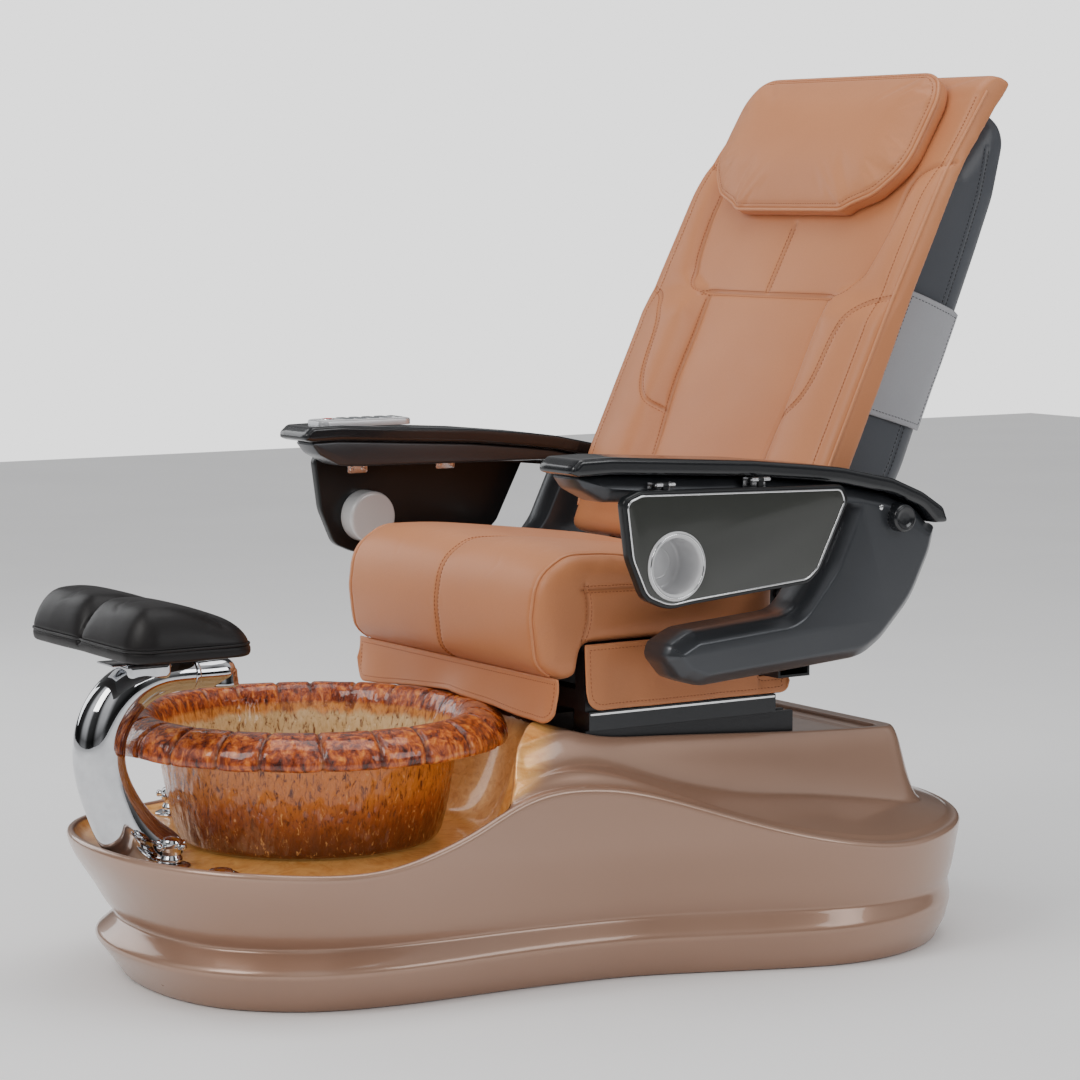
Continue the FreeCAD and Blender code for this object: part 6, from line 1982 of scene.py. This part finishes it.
def build_arm(s, side):
    Q = rounded(ARM, ARM_R, 3.0)
    # frame: flat panel with a broad chamfer on its outer side and a rounded inner side
    secs = [(352, 5.0), (352.6, 2.6), (354, 1.0), (357, 0.0), (396, 0.0), (404, 0.5), (410.5, 2.6), (414.5, 5.2), (424.5, 15.5), (426.6, 18.2), (427.7, 20.4), (428, 23.0)]
    V, F = slab(Q, secs)
    fr = make("arm_body_" + side, sided(V, s), F, [MAT["arm_graphite"]], "arm_" + side, "arm_graphite", ["arm_frame_" + side], angle=30)
    C = rounded(CAP, CAP_R, 3.0)
    V, F = slab(C, [(342, 9), (342, 6.2), (342.5, 3.6), (344, 1.6), (346.5, 0.4), (349, 0)] + [(349 + 79 * k / 6, 0) for k in range(1, 6)] + [(428, 0), (430.2, 0.5), (432.2, 1.7), (433.6, 3.7), (434, 6.2), (434, 9)])
    cp = make("arm_cap_body_" + side, sided(V, s), F, [MAT["arm_cap"]], "arm_" + side, "arm_cap", ["arm_cap_" + side], angle=32)
    # tray
    T = rounded(TRAY, TRAY_R, 3.0)
    V, F = slab(T, [(439, 4.5), (439.3, 2.6), (440.2, 1.1), (442, 0.2), (444, 0), (452, 0), (454.4, 0.4), (456.2, 1.6), (457, 3.4), (457, 4.6)])
    tr = make("tray_body_" + side, V, F, [MAT["tray_body"]])
    cut_hole(tr, 430, 470, -64, 631, 43.6)
    V = numpy_mesh(tr)
    set_mesh(tr, sided(V, s))
    if s < 0:
        tr.data.flip_normals()
    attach(tr, "side_tray_" + side)
    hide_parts("tray_" + side)
    fl = rounded(FACE, FACE_R, 3.0)
    V, F = slab(fl, [(455.5, 0.4), (457.2, 0.4), (457.55, 0.9), (457.7, 2.2)])
    fc = make("tray_face_" + side, V, F, [MAT["tray_face"]])
    cut_hole(fc, 430, 470, -64, 631, 43.6)
    V = numpy_mesh(fc)
    set_mesh(fc, sided(V, s))
    if s < 0:
        fc.data.flip_normals()
    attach(fc, "side_tray_" + side)
    pt = Parts()
    L = np.column_stack([np.full(len(fl), 457.3), fl])
    pt.add(*tube(sided(L, s), 1.55, 10, True))
    # knuckles of the tray's own hinge, each on a small plate
    kn = Parts()
    for y in (-92, 78):
        V, F = turned(soften([(0.3, 0), (3.6, 0), (3.6, 9.4), (0.3, 9.4)], 0.6, 2), 28, (445, y + 11.3, 747.5), "y")
        kn.add(sided(V, s), F)
        lp = rounded([(y + 11.4, 735), (y + 20.6, 735), (y + 20.6, 747), (y + 11.4, 747)], 1.5, 1.5)
        V, F = slab(lp, [(442.2, 0.6), (442.8, 0), (447.2, 0), (447.8, 0.6)])
        kn.add(sided(V, s), F)
    # hinge leaves on the tray's inner face, with two screws each
    lf = Parts()
    for y in (-92, 78):
        lp = rounded([(y - 3, 702), (y + 35, 702), (y + 35, 732), (y - 3, 732)], 4, 1.5)
        V, F = slab(lp, [(437.2, 0.9), (437.5, 0.2), (438.0, 0.0), (439.3, 0.0)])
        lf.add(sided(V, s), F, 0)
        for dy in (5, 27):
            V, F = turned(soften([(0.3, 435.6), (1.3, 435.6), (1.5, 436.4), (3.4, 436.0), (4.2, 437.0), (4.3, 437.8), (0.3, 437.8)], 0.4, 2), 24, (0, y + dy, 710), "x")
            lf.add(sided(V, s), F, 1)
    make_parts("tray_leaves_" + side, lf, [MAT["hinge_steel"], MAT["trim"]], body="side_tray_" + side, slot="hinge_steel", angle=40)
    make_parts("tray_trim_" + side, pt, [MAT["trim"]], body="side_tray_" + side, slot="chrome")
    make_parts("tray_knuckles_" + side, kn, [MAT["tray_body"]], body="side_tray_" + side, slot="tray_face", angle=35)
    # cup: white, with a bright flange ring
    prof = soften([(0.3, 405), (36, 405), (39.4, 405.6), (41.6, 408), (42.6, 412), (43.2, 447), (43.2, 456.6), (49.6, 457.4), (50.6, 458.2), (50.4, 459.8), (48.6, 460.9), (45.2, 461.2),
                   (42.4, 460.4), (40.6, 458.2), (40.2, 454), (39.8, 414), (38.4, 410.6), (35.6, 408.8), (24, 408.4), (22.6, 409.2), (21, 408.4), (0.3, 408.2)], 0.9, 3)
    V, F = turned(prof, 96, (0, -64, 631), "x")
    make("cup_body_" + side, sided(V, s), F, [MAT["cup_white"]], "side_tray_" + side, "cup_white", ["cup_holder_" + side], angle=40)
    V, F = turned(arc_pts(46.2, 461.0, 1.5, 0, 330, 10), 96, (0, -64, 631), "x", closed=True)
    make("cup_ring_" + side, sided(V, s), F, [MAT["trim"]], "side_tray_" + side, "chrome", [])
    # lock knob: dished front and a lit rim
    prof = soften([(0.3, 416.3), (21, 416.3), (22, 418), (22.2, 424), (21.0, 429), (21.4, 440), (20.6, 444), (18.4, 446.2), (16.2, 446.4), (15.0, 444.8), (10, 443.2), (0.3, 442.8)], 1.2, 3)

    def grip(V, P, a):
        w = ((P[:, 1] > 428) & (P[:, 1] < 441) & (P[:, 0] > 18))[:, None]
        k = 1 - 0.035 * (0.5 + 0.5 * np.cos(a * 24))[None, :] * w
        V[..., 0] *= k
        V[..., 1] *= k
        return V

    V, F = turned(prof, 192, (0, 368, 676), "x", mod=grip)
    make("lock_knob_" + side, sided(V, s), F, [MAT["arm_cap"]], "lock_" + side, "arm_cap", ["arm_knob_" + side], angle=40)
    # rivet with a bright head in the frame's face
    V, F = turned(soften([(0.3, 427), (4.6, 427), (4.6, 429), (3.4, 430.4), (0.3, 430.8)], 0.8, 3), 28, (0, 335, 693), "x")
    make("arm_rivet_" + side, sided(V, s), F, [MAT["trim"]], "arm_" + side, "arm_graphite", [])


for s, side in ((1, "left"), (-1, "right")):
    build_arm(s, side)


def plate(loop, secs, s=1):
    """A loop in (x, y) carried up z with (z, inset) sections."""
    V, F = slab(loop, secs)
    return V[:, [1, 2, 0]], F


def build_panel():
    def rr(x0, y0, x1, y1, r, step=2.0):
        return rounded([(x0, y0), (x1, y0), (x1, y1), (x0, y1)], r, step)

    V, F = plate(rr(-418, -186, -358, -16, 14), [(786, 1.0), (786.4, 0.0), (793.4, 0), (795.4, 0.6), (796.4, 1.9), (796.7, 3.6)])
    pt = Parts()
    pt.add(V, F, 0)
    # the white field with its keys
    V, F = plate(rr(-412, -180, -364, -22, 9), [(796.2, 0.2), (797.1, 0.2), (797.4, 0.6), (797.5, 1.6)])
    pt.add(V, F, 1)
    k = 0
    for j in range(4):
        for i in range(2):
            cx, cy = -399 + 22 * i, -128 + 24 * j
            V, F = plate(rr(cx - 8, cy - 8, cx + 8, cy + 8, 4, 1.5), [(797.3, 0.3), (798.2, 0.2), (798.8, 0.9), (798.9, 2.0)])
            pt.add(V, F, 2)
    V, F = plate(rr(-408, -40, -368, -28, 4, 1.5), [(797.3, 0.3), (798.0, 0.2), (798.5, 0.9), (798.6, 2.0)])
    pt.add(V, F, 3)
    V, F = turned(arc_pts(9.6, 797.6, 1.1, 0, 330, 8), 64, (-388, -160, 0), closed=True)
    pt.add(V, F, 3)
    make_parts("panel_body", pt, [MAT["panel_silver"], MAT["panel_white"], MAT["key_grey"], MAT["trim"]], body="arm_right", slot="panel_silver", replaces=["control_panel"], angle=35)
    V, F = turned(soften([(0.3, 794), (7.6, 794), (7.6, 798.2), (6.8, 799.4), (4.5, 799.2), (0.3, 798.9)], 0.7, 3), 48, (-388, -160, 0))
    make("power_key_cap", V, F, [MAT["key_red"]], "power", "key_red", ["power_key"], angle=40)


build_panel()


# a bright strip along the top of each moving rail
rl = Parts()
for s in (-1, 1):
    lp = rounded([(-94, 392.6), (247, 392.6), (247, 396.2), (-94, 396.2)], 0.8, 2.0)
    V, F = slab(lp, [(281.6, 0.0), (282.5, 0.0), (282.9, 0.4)])
    rl.add(sided(V, s), F)
make_parts("rail_strips", rl, [MAT["trim"]], body="seat", slot="rail_steel", angle=35)


# ------------------------------------------------------------------ camera, light, floor
def light(name, loc, aim, size, power, color=(1, 1, 1), size_y=None):
    d = bpy.data.lights.new(name, "AREA")
    d.energy = power
    d.color = color
    d.shape = "RECTANGLE"
    d.size = size
    d.size_y = size_y or size
    o = bpy.data.objects.new(name, d)
    scene.collection.objects.link(o)
    o.location = loc
    o.rotation_euler = (Vector(aim) - Vector(loc)).to_track_quat("-Z", "Y").to_euler()
    return o


light("key", (0.6, -3.6, 3.4), (0, 0, 0.6), 2.0, 78, (1.0, 0.985, 0.96))
light("side", (3.8, 1.6, 2.4), (0, 0, 0.6), 1.6, 34, (0.98, 0.99, 1.0))
light("top", (0.2, 0.3, 4.2), (0, 0, 0.5), 2.6, 52)
light("left", (-3.4, -1.2, 1.8), (0, 0, 0.6), 1.6, 30, (0.97, 0.985, 1.0), 2.4)

w = bpy.data.worlds.new("studio")
scene.world = w
w.use_nodes = True
nt = w.node_tree
bg = nt.nodes["Background"]
tc = nt.nodes.new("ShaderNodeTexCoord")
sp = nt.nodes.new("ShaderNodeSeparateXYZ")
nt.links.new(tc.outputs["Generated"], sp.inputs[0])
rp = nt.nodes.new("ShaderNodeValToRGB")
cr = rp.color_ramp
for p, c in ((0.0, 0.42), (0.40, 0.46), (0.485, 0.22), (0.53, 0.13), (0.60, 0.42), (0.78, 0.78), (1.0, 0.7)):
    if p in (0.0, 1.0):
        e = cr.elements[0 if p == 0.0 else len(cr.elements) - 1]
    else:
        e = cr.elements.new(p)
    e.color = (c, c, c * 1.01, 1)
mr = nt.nodes.new("ShaderNodeMapRange")
mr.inputs["From Min"].default_value = -1
nt.links.new(sp.outputs[2], mr.inputs["Value"])
nt.links.new(mr.outputs["Result"], rp.inputs["Fac"])
lp = nt.nodes.new("ShaderNodeLightPath")
mx = nt.nodes.new("ShaderNodeMix")
mx.data_type = "RGBA"
nt.links.new(lp.outputs["Is Camera Ray"], mx.inputs[0])
nt.links.new(rp.outputs["Color"], mx.inputs[6])
mx.inputs[7].default_value = (1.9, 1.9, 1.9, 1)
# dark flags round the studio, seen only in reflections, so that chrome and gloss have something to mirror
at = nt.nodes.new("ShaderNodeMath")
at.operation = "ARCTAN2"
nt.links.new(sp.outputs[1], at.inputs[0])
nt.links.new(sp.outputs[0], at.inputs[1])
ma = nt.nodes.new("ShaderNodeMapRange")
ma.inputs["From Min"].default_value = -math.pi
ma.inputs["From Max"].default_value = math.pi
nt.links.new(at.outputs[0], ma.inputs["Value"])
rb = nt.nodes.new("ShaderNodeValToRGB")
ce = rb.color_ramp
stops = [(0.0, 0.35), (0.07, 0.06), (0.13, 0.10), (0.17, 1.1), (0.23, 1.2), (0.27, 0.12), (0.36, 0.05), (0.40, 0.9), (0.46, 1.2), (0.50, 0.15), (0.58, 0.05), (0.63, 0.8),
         (0.70, 1.0), (0.75, 0.10), (0.85, 0.06), (0.90, 0.7), (1.0, 0.35)]
while len(ce.elements) < len(stops):
    ce.elements.new(0.5)
for e, (p, c) in zip(ce.elements, stops):
    e.position = p
    e.color = (c, c, c, 1)
nt.links.new(ma.outputs["Result"], rb.inputs["Fac"])
mu = nt.nodes.new("ShaderNodeMix")
mu.data_type = "RGBA"
mu.blend_type = "MULTIPLY"
nt.links.new(rb.outputs["Color"], mu.inputs[7])
nt.links.new(mx.outputs[2], mu.inputs[6])
nt.links.new(lp.outputs["Is Glossy Ray"], mu.inputs[0])
nt.links.new(mu.outputs[2], bg.inputs["Color"])
bg.inputs["Strength"].default_value = 1.0

me = bpy.data.meshes.new("floor")
s = 9.0
me.from_pydata([(-s, -s, -0.0005), (s, -s, -0.0005), (s, s, -0.0005), (-s, s, -0.0005)], [], [(0, 1, 2, 3)])
floor = bpy.data.objects.new("floor", me)
scene.collection.objects.link(floor)
fm = Nodes("floor_pale")
fm.set(Roughness=0.75, Specular_IOR_Level=0.15)
fm.to(fm.mix(fm.ramp(fm.noise(1.4, 2, 0.5), [(0.3, 0.0), (0.7, 1.0)]), (0.90, 0.90, 0.90), (0.93, 0.93, 0.93)), "Base Color")
me.materials.append(fm.m)

cd = bpy.data.cameras.new("camera")
cam = bpy.data.objects.new("camera", cd)
scene.collection.objects.link(cam)
cam.location = (4.2955, -2.7506, 1.1633)
cam.rotation_euler = (Vector((0, 0.039, 0.625)) - cam.location).to_track_quat("-Z", "Y").to_euler()
cd.lens = 110
cd.sensor_width = 36
scene.camera = cam
